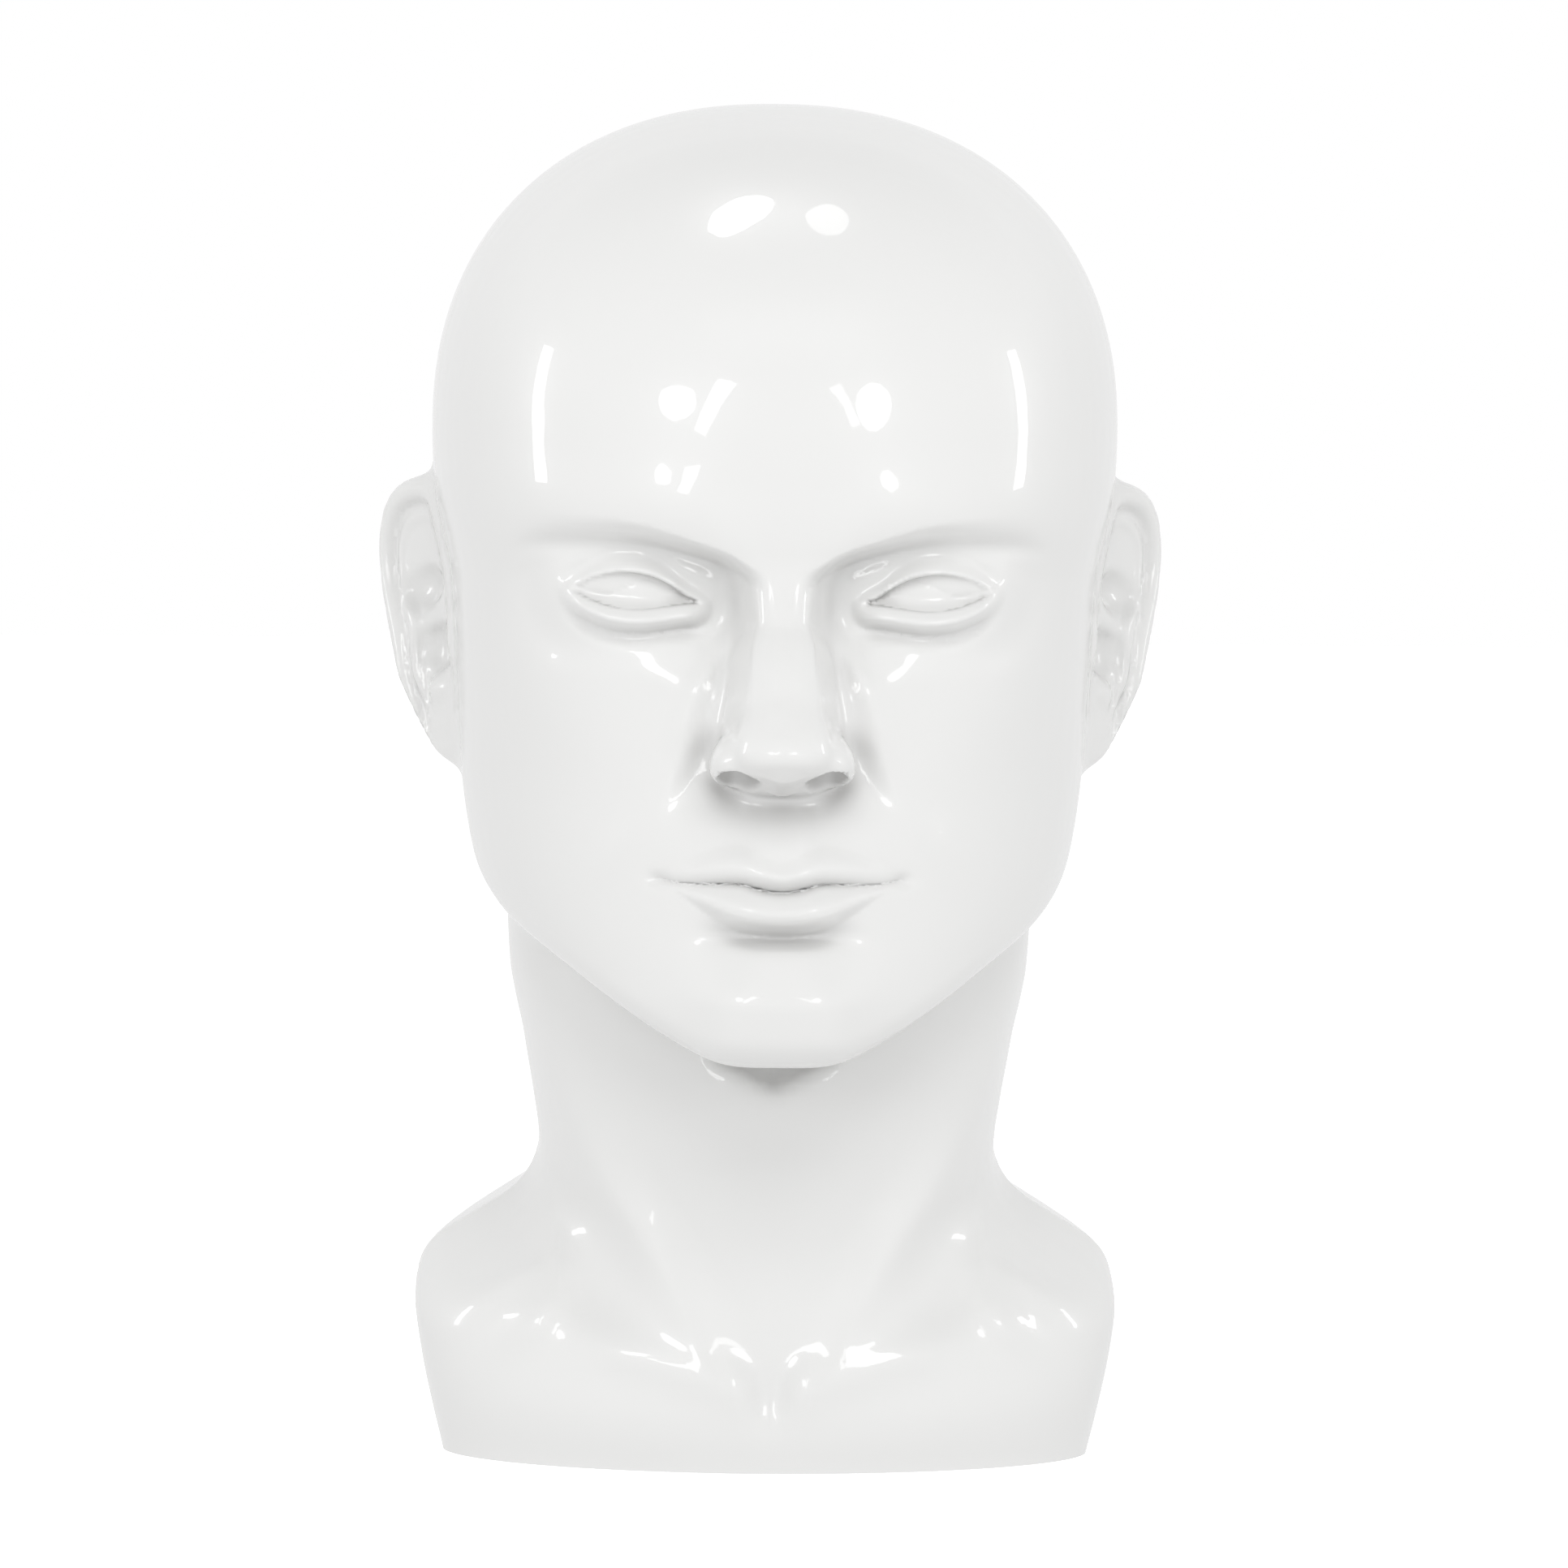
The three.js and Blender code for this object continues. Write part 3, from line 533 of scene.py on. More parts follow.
@dataclass(frozen=True)
class Eyes:
    """Plain eyeballs behind lids. The right one of a viewer is described; the other mirrors it.

    The rolls of the lids are placed by how far they are from the opening's edge.
    """

    room: Room = Room(side=(8, 60), depth=(-FAR, -50), height=(185, 225))
    ball: Egg = Egg((31, -60.5, 206), (20, 18.5, 15), 7)
    lid: float = 1.3
    globe: Egg = Egg((32, -48.7, 215), (34, 30.4, 34), 1.2)
    inner_x: float = 18.6
    outer_x: float = 47.2
    upper_edge: Curve = Curve((14, 202), (18.6, 203.7), (22, 205.2), (25.5, 207.7), (30, 209.7),
                              (36, 210.4), (42.5, 209.1), (47.2, 206.5), (52, 203.5))
    lower_edge: Curve = Curve((14, 204.8), (18.6, 203.7), (22, 203.5), (27, 202.8), (32.4, 202.2),
                              (38.4, 202.7), (43, 204.2), (47.2, 206.4), (52, 209))
    rolls_along: Marks = (-0.12, 0.12, 0.9, 1.15)
    upper_roll: Swell = Swell(0.6, 0.8, 1.2)
    upper_crease: Swell = Swell(-0.7, 3.8, 1.8)
    lower_roll: float = 2.8
    lower_roll_down: Marks = (-1.5, 2.6, 2.8, 5.8)
    lower_crease: Swell = Swell(-1.2, 6.4, 2)
    opening_depth: float = 2.0
    corner_share: float = 0.25
    lower_lid_slope: float = 0.9
    opening_steepness: float = 0.85
    lid_round: float = 0.8

    def add(self, face: Array, ax: Array, y: Array, z: Array) -> Array:
        """Joins the lids to the face and opens them over the eyeball.

        Args:
            face: The field so far.
            ax: Distance from the middle plane.
            y, z: The rest of the place.

        Returns:
            The new field.
        """
        t = (ax - self.inner_x) / (self.outer_x - self.inner_x)
        above = z - self.upper_edge(ax)
        below = self.lower_edge(ax) - z
        upper = self.upper_roll(above) + self.upper_crease(above)
        lower = self.lower_roll * between(below, self.lower_roll_down) + self.lower_crease(below)
        skin = join(face, self.ball.field(ax, y, z) - self.lid, self.ball.fillet)
        lids = skin - (upper + lower) * between(t, self.rolls_along)
        middle = np.sqrt(np.clip(4 * t * (1 - t), 0, 1))
        depth = self.opening_depth * mix(self.corner_share, 1, middle)
        back = np.minimum(self.globe.field(ax, y, z), skin + depth)
        sloped = below + self.lower_lid_slope * np.maximum(-skin, 0)
        opening = common(above, sloped, self.lid_round) * self.opening_steepness
        opening = common(opening, -back, self.globe.fillet)
        return common(lids, -np.maximum(opening, y - self.ball.centre[1]), self.lid_round)


@dataclass(frozen=True)
class EarRim:
    """A round rim along an ear's edge. It thins out downwards, forwards and towards the top."""

    inset: float
    out: float
    radius: float
    fillet: float
    up: Span
    back: Span
    least: float = 0.0
    top: Span = (2, 16)
    loss: float = 0.0

    def field(self, edge: Array, s: Array, h: Array, t: Array) -> Array:
        """Gives the field of the rim.

        Args:
            edge: Distance outside the ear's outline.
            s, h, t: The place in the ear's own axes.

        Returns:
            The field.
        """
        fade = linear(t, *self.up) * np.maximum(linear(s, *self.back), self.least)
        fade = fade * (1 - self.loss * ramp(t, *self.top))
        return np.hypot(edge + self.inset, h - self.out) - self.radius * fade


@dataclass(frozen=True)
class Ears:
    """Ears that stand out from the sides of the head.

    An ear's own axes are s, from its front root to its back rim, t, up its length, and h, out of its
    outer face. Its rims are the rolled outer one and the ridge inside that.
    """

    room: Room = Room(side=(50, FAR), height=(145, 245))
    centre: Point = (77.9, 13, 194.0)
    turn: float = math.radians(37)
    lean: float = math.radians(14)
    half_length: float = 33.4
    half_width: float = 15.6
    taper: float = 0.16
    squareness: float = 2.45
    half_wall: float = 2.7
    wall_back: float = 0.9
    wall_edge: float = 3.0
    root: Egg = Egg((-7, -7, -1), (11, 8, 22), 6)
    rims: tuple[EarRim, ...] = (
        EarRim(2.6, 1.9, 2.9, 2.0, up=(-27, -11), back=(-15, -10), least=0.45),
        EarRim(8.6, 1.2, 2.4, 2.5, up=(-20, -12), back=(-7, -1), loss=0.7),
    )
    lobe: Egg = Egg((-3, 0, -25), (9, 3.4, 8), 4)
    hollows: tuple[Egg, ...] = (Egg((1, 3.6, 8), (8.5, 4.9, 5), 2), Egg((-2, 3.8, -7), (8, 5.8, 6.4), 2))
    folds: tuple[Rod | Egg, ...] = (
        Rod((-12, 1, 1.5), (5, 0.6, -0.5), 2.2, 1.6, 1.5),
        Rod((-13, 2, 2), (-9, 1.5, 24), 2.2, 2.0, 2.5),
        Egg((-11, 2, -7), (3.2, 3, 5), 2.5),
        Egg((0, 1.6, -16.5), (4.2, 2.8, 3), 2.5),
    )
    head_fillet: float = 5.0

    def own_axes(self, ax: Array, y: Array, z: Array) -> tuple[Array, Array, Array]:
        """Turns a place into the ear's own axes.

        Args:
            ax: Distance from the middle plane.
            y, z: The rest of the place.

        Returns:
            The place along s, h and t.
        """
        px, py, pz = ax - self.centre[0], y - self.centre[1], z - self.centre[2]
        along = px * math.sin(self.turn) + py * math.cos(self.turn)
        h = px * math.cos(self.turn) - py * math.sin(self.turn)
        s = along * math.cos(self.lean) - pz * math.sin(self.lean)
        t = along * math.sin(self.lean) + pz * math.cos(self.lean)
        return s, h, t

    def add(self, form: Array, ax: Array, y: Array, z: Array) -> Array:
        """Joins the ears to the head.

        Args:
            form: The field so far.
            ax: Distance from the middle plane.
            y, z: The rest of the place.

        Returns:
            The new field.
        """
        s, h, t = self.own_axes(ax, y, z)
        spread = self.half_width * (1 + self.taper * np.clip(t / self.half_length, -1, 1))
        g = np.abs(s / spread) ** self.squareness + np.abs(t / self.half_length) ** self.squareness
        g = g ** (1 / self.squareness)
        edge = np.hypot(s, t) * (1 - 1 / np.maximum(g, SMALL))
        ear = common(np.abs(h + self.wall_back) - self.half_wall, edge, self.wall_edge)
        ear = join(ear, self.root.field(s, h, t), self.root.fillet)
        for rim in self.rims:
            ear = join(ear, rim.field(edge, s, h, t), rim.fillet)
        ear = join(ear, self.lobe.field(s, h, t), self.lobe.fillet)
        for hollow in self.hollows:
            ear = common(ear, -hollow.field(s, h, t), hollow.fillet)
        for fold in self.folds:
            ear = join(ear, fold.field(s, h, t), fold.fillet)
        return join(form, ear, self.head_fillet)


@dataclass(frozen=True)
class Neck:
    """The neck, with the two muscles that run from behind the jaw to the notch of the breastbone."""

    room: Room = Room(height=(-FAR, 165))
    outline: Loft = Loft(
        width=Curve((20, 56), (50, 53.8), (72, 53.6), (84, 55.2), (92, 56.6), (99, 57.8), (106, 59.4),
                    (114, 60.8), (130, 61.5)),
        front=Curve((0, 35), (20, 37), (40, 41), (60, 45), (80, 48.5), (100, 48), (130, 42)),
        back=Curve((20, 70), (50, 67), (80, 61), (110, 57), (140, 58), (160, 60)),
        centre=Curve((0, 10), (160, 10)),
        front_power=Curve((0, 2.15), (160, 2.15)),
        back_power=Curve((0, 2.2), (160, 2.2)),
    )
    muscle: Curve = Curve((10, 1), (20, 7), (36, 14.5), (50, 22), (75, 38), (104, 50), (132, 57))
    muscle_height: Curve = Curve((8, 1.5), (24, 4.6), (50, 4.6), (80, 3.4), (110, 1.8), (135, 0.5))
    muscle_spread: Curve = Curve((14, 15), (34, 11), (60, 9))
    muscle_edge: Span = (-9, 7)
    muscle_crest: float = 3.0
    throat_sink: float = 1.5
    front: Span = (16, -14)
    head_fillet: float = 11.0

    def add(self, form: Array, ax: Array, y: Array, z: Array) -> Array:
        """Joins the neck to the head.

        Args:
            form: The field so far.
            ax: Distance from the middle plane.
            y, z: The rest of the place.

        Returns:
            The new field.
        """
        outside = ax - self.muscle(z)
        muscle = self.muscle_height(z) * ramp(outside, *self.muscle_edge)
        muscle = muscle * bell(np.maximum(outside - self.muscle_crest, 0) / self.muscle_spread(z))
        shifted = y + (muscle - self.throat_sink) * linear(y, *self.front)
        return join(form, self.outline.field(ax, shifted, z), self.head_fillet)


@dataclass(frozen=True)
class Chest:
    """The cut-off shoulders and collarbones that the head stands on.

    The groove between the chest and the shoulder muscle is placed in axes turned along it.
    """

    room: Room = Room(height=(-FAR, 95))
    outline: Loft = Loft(
        width=Curve((-12, 73.4), (0, 75.6), (9, 77.8), (22, 80.7), (38, 82.9), (60, 82.9)),
        front=Curve((-12, 39), (0, 41.5), (8, 43.8), (15, 44), (30, 40.5), (50, 37)),
        back=Curve((-12, 62), (0, 64), (9, 66.5), (38, 70)),
        centre=Curve((0, -3), (20, 0), (40, 5), (60, 10)),
        front_power=Curve((0, 1.95), (20, 2.2), (60, 2.5)),
        back_power=Curve((0, 2.2), (60, 2.2)),
    )
    ridge_y: float = 16.0
    ridge_z: float = 65.0
    shoulder_x: float = 50.0
    shoulder_fall: float = 0.61
    front_fall: float = 0.40
    back_fall: float = 0.0015
    top_steepness: float = 0.82
    top_edge: float = 7.0
    collarbone: Swell = Swell(2.4, 0, 6)
    collarbone_line: Line = Line(21, 8, 0.3)
    collarbone_across: Marks = (2, 9, 34, 52)
    notch: Bump = Bump(-1.6, 0, 4, 17, 7)
    groove_place: Span = (50, 44)
    groove_way: Span = (0.73, 0.68)
    groove: tuple[Bump, ...] = (Bump(-1.8, 4, 3.4, 9, 12), Bump(1.4, -3.5, 4, 9, 12))
    hollow: Egg = Egg((41, -42, 49), (13, 14, 14), 12)
    front: Span = (8, -12)
    neck_fillet: float = 10.0

    def proud(self, ax: Array, z: Array) -> Array:
        """Says how far the collarbone and the edge of the shoulder muscle come forward.

        Args:
            ax: Distance from the middle plane.
            z: Height.

        Returns:
            The relief in millimetres.
        """
        bone = self.collarbone(z - self.collarbone_line(ax)) * between(ax, self.collarbone_across)
        px, pz = ax - self.groove_place[0], z - self.groove_place[1]
        across = px * self.groove_way[0] + pz * self.groove_way[1]
        down = px * self.groove_way[1] - pz * self.groove_way[0]
        return bone + self.notch(ax, z) + sum(bump(across, down) for bump in self.groove)

    def add(self, form: Array, ax: Array, y: Array, z: Array) -> Array:
        """Joins the shoulders and collarbones to the neck.

        Args:
            form: The field so far.
            ax: Distance from the middle plane.
            y, z: The rest of the place.

        Returns:
            The new field.
        """
        fall = self.shoulder_fall * np.maximum(ax - self.shoulder_x, 0)
        fall = fall + self.front_fall * np.maximum(self.ridge_y - y, 0)
        top = self.ridge_z - fall - self.back_fall * np.maximum(y - self.ridge_y, 0) ** 2
        shifted = y + self.proud(ax, z) * linear(y, *self.front)
        body = common(self.outline.field(ax, shifted, z), (z - top) * self.top_steepness, self.top_edge)
        body = common(body, -self.hollow.field(ax, y, z), self.hollow.fillet)
        return join(form, body, self.neck_fillet)


@dataclass(frozen=True)
class Throat:
    """The small hollow in the throat, right under the chin."""

    room: Room = Room(side=(-1, 30), depth=(-FAR, 0), height=(80, 112))
    hollow: Rod = Rod((0, -44.5, 96.0), (10, -44, 98.6), 4.0, 1.2, 7)

    def add(self, form: Array, ax: Array, y: Array, z: Array) -> Array:
        """Hollows out the throat."""
        return common(form, -self.hollow.field(ax, y, z), self.hollow.fillet)


@dataclass(frozen=True)
class HeadForm:
    """The whole moulded form, running on a little below its underside.

    The painted shade in recesses is found by how near the surface lies again at a few distances straight
    out of it, each with its share of the shade. The lips are nearly left out of it, and it is stronger
    under the nose.
    """

    skull: Skull = Skull()
    relief: Relief = Relief()
    face_depth: Span = (20, -40)
    face_height: Span = (90, 262)
    features: tuple[Nose | Eyes | Neck | Chest | Throat | Ears, ...] = (
        Nose(), Eyes(), Neck(), Chest(), Throat(), Ears())
    sink: float = 12.0
    least_slope: float = 0.05
    # Painted shade: the reaches and shares of the darkening painted into the lacquer's colour in recesses
    painted_shade_reaches: tuple[Span, ...] = ((3.0, 0.22), (7.0, 0.20), (14.0, 0.08))
    open_share: float = 0.75
    painted_shade_front: Span = (15, 45)
    painted_shade_lips: Swell = Swell(0.85, 141, 15)
    painted_shade_nose: Swell = Swell(1.0, 163, 3.2)
    painted_shade_nose_front: Span = (78, 86)

    def field(self, x: Array, y: Array, z: Array) -> Array:
        """Gives the field of the whole head.

        Args:
            x, y, z: Where to read the field, as flat arrays.

        Returns:
            The field: negative inside.
        """
        ax = np.abs(x)
        facing = linear(y, *self.face_depth) * ((z > self.face_height[0]) & (z < self.face_height[1]))
        form = self.skull.field(ax, y, z, self.relief.proud(ax, z) * facing)
        for feature in self.features:
            held = feature.room.holds(ax, y, z)
            if held.any():
                form[held] = feature.add(form[held], ax[held], y[held], z[held])
        return np.maximum(form, -self.sink - z)

    def slope(self, points: Array, reach: float = 0.1) -> Array:
        """Gives the field's slope.

        Args:
            points: Places, one a row.
            reach: How far to either side the field is read.

        Returns:
            The slope along x, y and z, one row for each place.
        """
        slopes = np.empty_like(points)
        for axis in range(3):
            step = np.zeros(3)
            step[axis] = reach
            ahead = self.field(*(points + step).T)
            behind = self.field(*(points - step).T)
            slopes[:, axis] = (ahead - behind) / (2 * reach)
        return slopes

    def painted_shade_depth(self, points: Array, normals: Array) -> Array:
        """Says how much painted shade each place of the surface gets, by how deep in a recess it lies.

        Args:
            points: Places on the surface, one a row.
            normals: The surface's normals there.

        Returns:
            0 where the surface lies open, up to 1 for full painted shade deep in a recess.
        """
        depth = np.zeros(len(points))
        for reach, share in self.painted_shade_reaches:
            clear = self.field(*(points + normals * reach).T) / reach
            depth += share * linear(clear, self.open_share, 0)
        ahead = -points[:, 1]
        height = points[:, 2]
        under_nose = self.painted_shade_nose(height) * ramp(ahead, *self.painted_shade_nose_front)
        depth *= ramp(ahead, *self.painted_shade_front) * (1 - self.painted_shade_lips(height)) * (1 + under_nose)
        return np.clip(depth, 0, 1)

    def settle(self, points: Array, rounds: int, limit: float) -> Array:
        """Moves points onto the surface along the field's slope.

        The square of the slope counts as at least least_slope, so that no step runs away where the
        field is nearly flat.

        Args:
            points: Places, one a row.
            rounds: How many steps to take.
            limit: The furthest that a point moves in one step.

        Returns:
            The moved places.
        """
        for _ in range(rounds):
            slopes = self.slope(points)
            value = self.field(*points.T)
            squared = np.maximum((slopes ** 2).sum(axis=1), self.least_slope)
            step = -slopes * (value / squared)[:, None]
            length = np.linalg.norm(step, axis=1, keepdims=True)
            points = points + step * np.minimum(1, limit / np.maximum(length, TINY))
        return points


# The net over the form

@dataclass(frozen=True)
class NetSpacing:
    """The spacing of the net's planes along one axis: it is finer where there is finer carving."""

    low: float
    high: float
    step: Curve

    def planes(self) -> Array:
        """Gives the planes' places.

        Returns:
            The places, in rising order.
        """
        places = [self.low]
        while places[-1] < self.high:
            places.append(places[-1] + float(self.step(np.array(places[-1]))))
        return np.array(places)


@dataclass(frozen=True)
class Net:
    """A closed net of quads over a form, with one point in each cell that the surface crosses."""

    form: HeadForm
    across: NetSpacing = NetSpacing(0, 99, Curve(
        (0, 1.25), (42, 1.25), (55, 2.4), (68, 2.4), (74, 1.4), (99, 1.4)))
    along: NetSpacing = NetSpacing(-120, 112, Curve(
        (-120, 1.1), (-62, 1.1), (-45, 2.5), (-8, 2.5), (2, 1.6), (26, 1.6), (40, 4), (112, 4)))
    up: NetSpacing = NetSpacing(-17, 319, Curve(
        (-17, 2.8), (0, 2.8), (90, 2.8), (108, 1.5), (128, 1.2), (134, 0.8), (146, 0.8), (150, 1.2),
        (157, 0.9), (172, 0.9), (176, 1.4), (194, 1.4), (199, 0.8), (216, 0.8), (224, 1.6), (250, 3.8),
        (319, 3.8)))

    def read(self) -> tuple[list[Array], Array]:
        """Reads the form's field at the corners of all cells.

        The form is the same on both sides, so one side is read and mirrored.

        Returns:
            The planes along each axis, and the field.
        """
        half = self.across.planes()
        planes = [half, self.along.planes(), self.up.planes()]
        value = np.empty([len(p) for p in planes])
        y, x = np.meshgrid(planes[1], planes[0])
        for k, z in enumerate(planes[2]):
            level = np.full(x.size, z)
            value[:, :, k] = self.form.field(x.ravel(), y.ravel(), level).reshape(x.shape)
        planes[0] = np.concatenate([-half[:0:-1], half])
        return planes, np.concatenate([value[:0:-1], value])

    def weave(self) -> tuple[Array, Array]:
        """Makes the net.

        Returns:
            Its points, in millimetres, and its quads, as rows of four point numbers.
        """
        planes, value = self.read()
        inside = value < 0
        count = sum(self.corner(c, inside).astype(np.int8) for c in range(8))
        crossed = (count > 0) & (count < 8)
        number = np.full(crossed.shape, -1)
        number[crossed] = np.arange(crossed.sum())
        return self.points(planes, value, crossed), self.quads(inside, number)

    @staticmethod
    def corner(c: int, grid: Array) -> Array:
        """Cuts out of a grid the corner numbered c, from 0 to 7, of every cell."""
        far = [(c >> axis) & 1 for axis in range(3)]
        return grid[tuple(slice(far[axis], grid.shape[axis] - 1 + far[axis]) for axis in range(3))]

    def points(self, planes: list[Array], value: Array, crossed: Array) -> Array:
        """Puts a point in each crossed cell, in the middle of where its edges cut the surface.

        Args:
            planes: The planes along each axis.
            value: The field at all corners.
            crossed: Which cells the surface crosses.

        Returns:
            The points, one a row.
        """
        total = np.zeros((crossed.sum(), 3))
        hits = np.zeros(crossed.sum())
        for c in range(8):
            for axis in range(3):
                if (c >> axis) & 1:
                    continue
                other = c | (1 << axis)
                a, b = self.corner(c, value)[crossed], self.corner(other, value)[crossed]
                cut = (a < 0) != (b < 0)
                t = np.where(cut, a / np.where(cut, a - b, 1), 0)
                place = np.array([(c >> n) & 1 for n in range(3)], float)
                spot = np.tile(place, (len(a), 1))
                spot[:, axis] = t
                total += spot * cut[:, None]
                hits += cut
        within = total / hits[:, None]
        points = np.empty_like(within)
        for axis, first in enumerate(np.argwhere(crossed).T):
            points[:, axis] = mix(planes[axis][first], planes[axis][first + 1], within[:, axis])
        return points

    @staticmethod
    def quads(inside: Array, number: Array) -> Array:
        """Lays a quad round each edge of the cells that cuts the surface.

        Args:
            inside: Which corners lie inside the form.
            number: The number of each cell's point.

        Returns:
            The quads, as rows of four point numbers, which turn so that they face outwards.
        """
        cells = number.shape
        quads = []
        for axis in range(3):
            u, v = (axis + 1) % 3, (axis + 2) % 3
            span = [slice(1, n) for n in cells]
            ahead = list(span)
            span[axis] = slice(0, cells[axis])
            ahead[axis] = slice(1, cells[axis] + 1)
            first, second = inside[tuple(span)], inside[tuple(ahead)]
            at = np.argwhere(first != second)
            at[:, u] += 1
            at[:, v] += 1
            outward = first[first != second]
            ring = []
            for du, dv in ((1, 1), (0, 1), (0, 0), (1, 0)):
                cell = at.copy()
                cell[:, u] -= du
                cell[:, v] -= dv
                ring.append(number[tuple(cell.T)])
            ring = np.stack(ring, 1)
            quads.append(np.where(outward[:, None], ring, ring[:, ::-1]))
        return np.concatenate(quads)


@dataclass(frozen=True)
class MouldedHead:
    """The piece itself: the net over the form, cut off flat and given exact normals.

    The form's own middle is its skull's, and set_back is how far that lies behind the part's origin.
    The underside is the one large face whose normal is below underside_z.
    """

    name: str = "lacquered_head"
    node: str = "mannequin_head"
    set_back: float = 7.4
    settle_rounds: int = 3
    settle_limit: float = 0.8
    cut_tolerance: float = 1e-4
    underside_z: float = -0.999
    form: HeadForm = HeadForm()

    def build(self, finish: bpy.types.Material) -> bpy.types.Object:
        """Makes the head.

        Args:
            finish: What it is lacquered with.

        Returns:
            The object, in metres in the frame of the part.
        """
        points, quads = Net(self.form).weave()
        points = self.form.settle(points, self.settle_rounds, self.settle_limit)
        mesh = bpy.data.meshes.new(self.name)
        mesh.from_pydata(points.tolist(), [], quads.tolist())
        self.cut_flat(mesh)
        self.smooth(mesh)
        mesh.transform(Matrix.Translation((0, self.set_back * MM, 0)) @ Matrix.Scale(MM, 4))
        mesh.materials.append(finish)
        return add_object(self.name, mesh)

    def cut_flat(self, mesh: bpy.types.Mesh) -> None:
        """Cuts the mesh off at its underside and closes the cut with one face.

        Args:
            mesh: The mesh, in millimetres, which runs on below the cut.
        """
        work = bmesh.new()
        work.from_mesh(mesh)
        everything = work.verts[:] + work.edges[:] + work.faces[:]
        cut = bmesh.ops.bisect_plane(work, geom=everything, dist=self.cut_tolerance, clear_inner=True,
                                     plane_co=(0, 0, 0), plane_no=(0, 0, 1))
        rim = [e for e in cut["geom_cut"] if isinstance(e, bmesh.types.BMEdge)]
        bmesh.ops.contextual_create(work, geom=rim)
        work.to_mesh(mesh)
        work.free()

    def smooth(self, mesh: bpy.types.Mesh) -> None:
        """Gives every corner of the mesh the normal of the form, and the underside its own.

        It also writes how deep in a recess each vertex lies, which darkens the lacquer's colour there as
        painted shade.

        Args:
            mesh: The cut mesh, in millimetres.
        """
        places = np.empty(len(mesh.vertices) * 3)
        mesh.vertices.foreach_get("co", places)
        places = places.reshape(-1, 3)
        slopes = self.form.slope(places)
        normals = slopes / np.maximum(np.linalg.norm(slopes, axis=1, keepdims=True), TINY)
        # Painted shade: how deep each vertex lies in a recess, which darkens the lacquer's colour there
        painted_shade = mesh.attributes.new(PAINTED_SHADE_ATTRIBUTE, "FLOAT", "POINT")
        painted_shade.data.foreach_set("value", self.form.painted_shade_depth(places, normals))
        vertex = np.empty(len(mesh.loops), np.int32)
        mesh.loops.foreach_get("vertex_index", vertex)
        corners = normals[vertex]
        for face in mesh.polygons:
            if face.loop_total > 4 and face.normal.z < self.underside_z:
                corners[face.loop_start:face.loop_start + face.loop_total] = (0, 0, -1)
        mesh.shade_smooth()
        mesh.normals_split_custom_set(corners.tolist())


# The finish

@dataclass(frozen=True)
class Ripple:
    """Waves in a skin: their length and depth in millimetres, and how strongly they show."""

    length: float
    depth: float
    strength: float


# White lacquer, sprayed on a moulded plastic shell and cured to a high gloss. To the eye it is a soft,
# milky white body under a clear skin, which mirrors lamps as small, sharp, white shapes. The skin waves
# slowly where the lacquer has flowed, and has a very faint orange peel, which is drawn a little coarse
# so that it shows. In recesses the colour is darkened to a slightly warm grey, as painted shade.
@dataclass(frozen=True)
class GlossLacquer:
    """Sprayed white gloss lacquer: its colours, its gloss, and the ripples of its skin.

    The first of the ripples is how the lacquer has flowed, and the second is the orange peel.
    """

    name: str = "white_gloss_lacquer"
    colour: str = "E3E3E2"
    # Painted shade: the grey that the lacquer's colour goes towards deep in recesses
    painted_shade_colour: str = "6E6B68"
    roughness: float = 0.32
    ior: float = 1.46
    skin_roughness: float = 0.03
    skin_ior: float = 1.5
    ripples: tuple[Ripple, ...] = (Ripple(16.0, 0.5, 0.35), Ripple(1.4, 0.03, 0.12))

    def material(self) -> bpy.types.Material:
        """Makes the material.

        Returns:
            The material.
        """
        finish = bpy.data.materials.new(self.name)
        finish.use_nodes = True
        tree = finish.node_tree
        shader = tree.nodes["Principled BSDF"]
        # Painted shade: the base colour darkens towards the recess grey by the recess attribute
        painted_shade = add_node(tree, "ShaderNodeAttribute", {}, {})
        painted_shade.attribute_name = PAINTED_SHADE_ATTRIBUTE
        shade = add_node(tree, "ShaderNodeValToRGB", {}, {"Fac": painted_shade.outputs["Fac"]})
        shade.color_ramp.elements[0].color = hex_colour(self.colour)
        shade.color_ramp.elements[1].color = hex_colour(self.painted_shade_colour)
        tree.links.new(shade.outputs["Color"], shader.inputs["Base Color"])
        settings = {"Roughness": self.roughness, "IOR": self.ior, "Coat Weight": 1.0,
                    "Coat Roughness": self.skin_roughness, "Coat IOR": self.skin_ior}
        for name, value in settings.items():
            shader.inputs[name].default_value = value

        place = add_node(tree, "ShaderNodeTexCoord", {}, {}).outputs["Object"]
        skin = {}
        for ripple in self.ripples:
            noise = add_node(tree, "ShaderNodeTexNoise",
                             {"Scale": 1 / (ripple.length * MM), "Detail": 1.0}, {"Vector": place})
            waves = add_node(tree, "ShaderNodeBump",
                             {"Strength": ripple.strength, "Distance": ripple.depth * MM},
                             {"Height": noise.outputs["Fac"], **skin})
            skin = {"Normal": waves.outputs["Normal"]}
        tree.links.new(skin["Normal"], shader.inputs["Coat Normal"])
        return finish


def add_node(tree: bpy.types.NodeTree, kind: str, settings: dict, links: dict) -> bpy.types.Node:
    """Adds a node with its settings and links.

    Args:
        tree: Where to add it.
        kind: Its type.
        settings: Values for its inputs, by name.
        links: Outputs that feed its inputs, by name or number.

    Returns:
        The node.
    """
    node = tree.nodes.new(kind)
    for name, value in settings.items():
        node.inputs[name].default_value = value
    for name, source in links.items():
        tree.links.new(source, node.inputs[name])
    return node


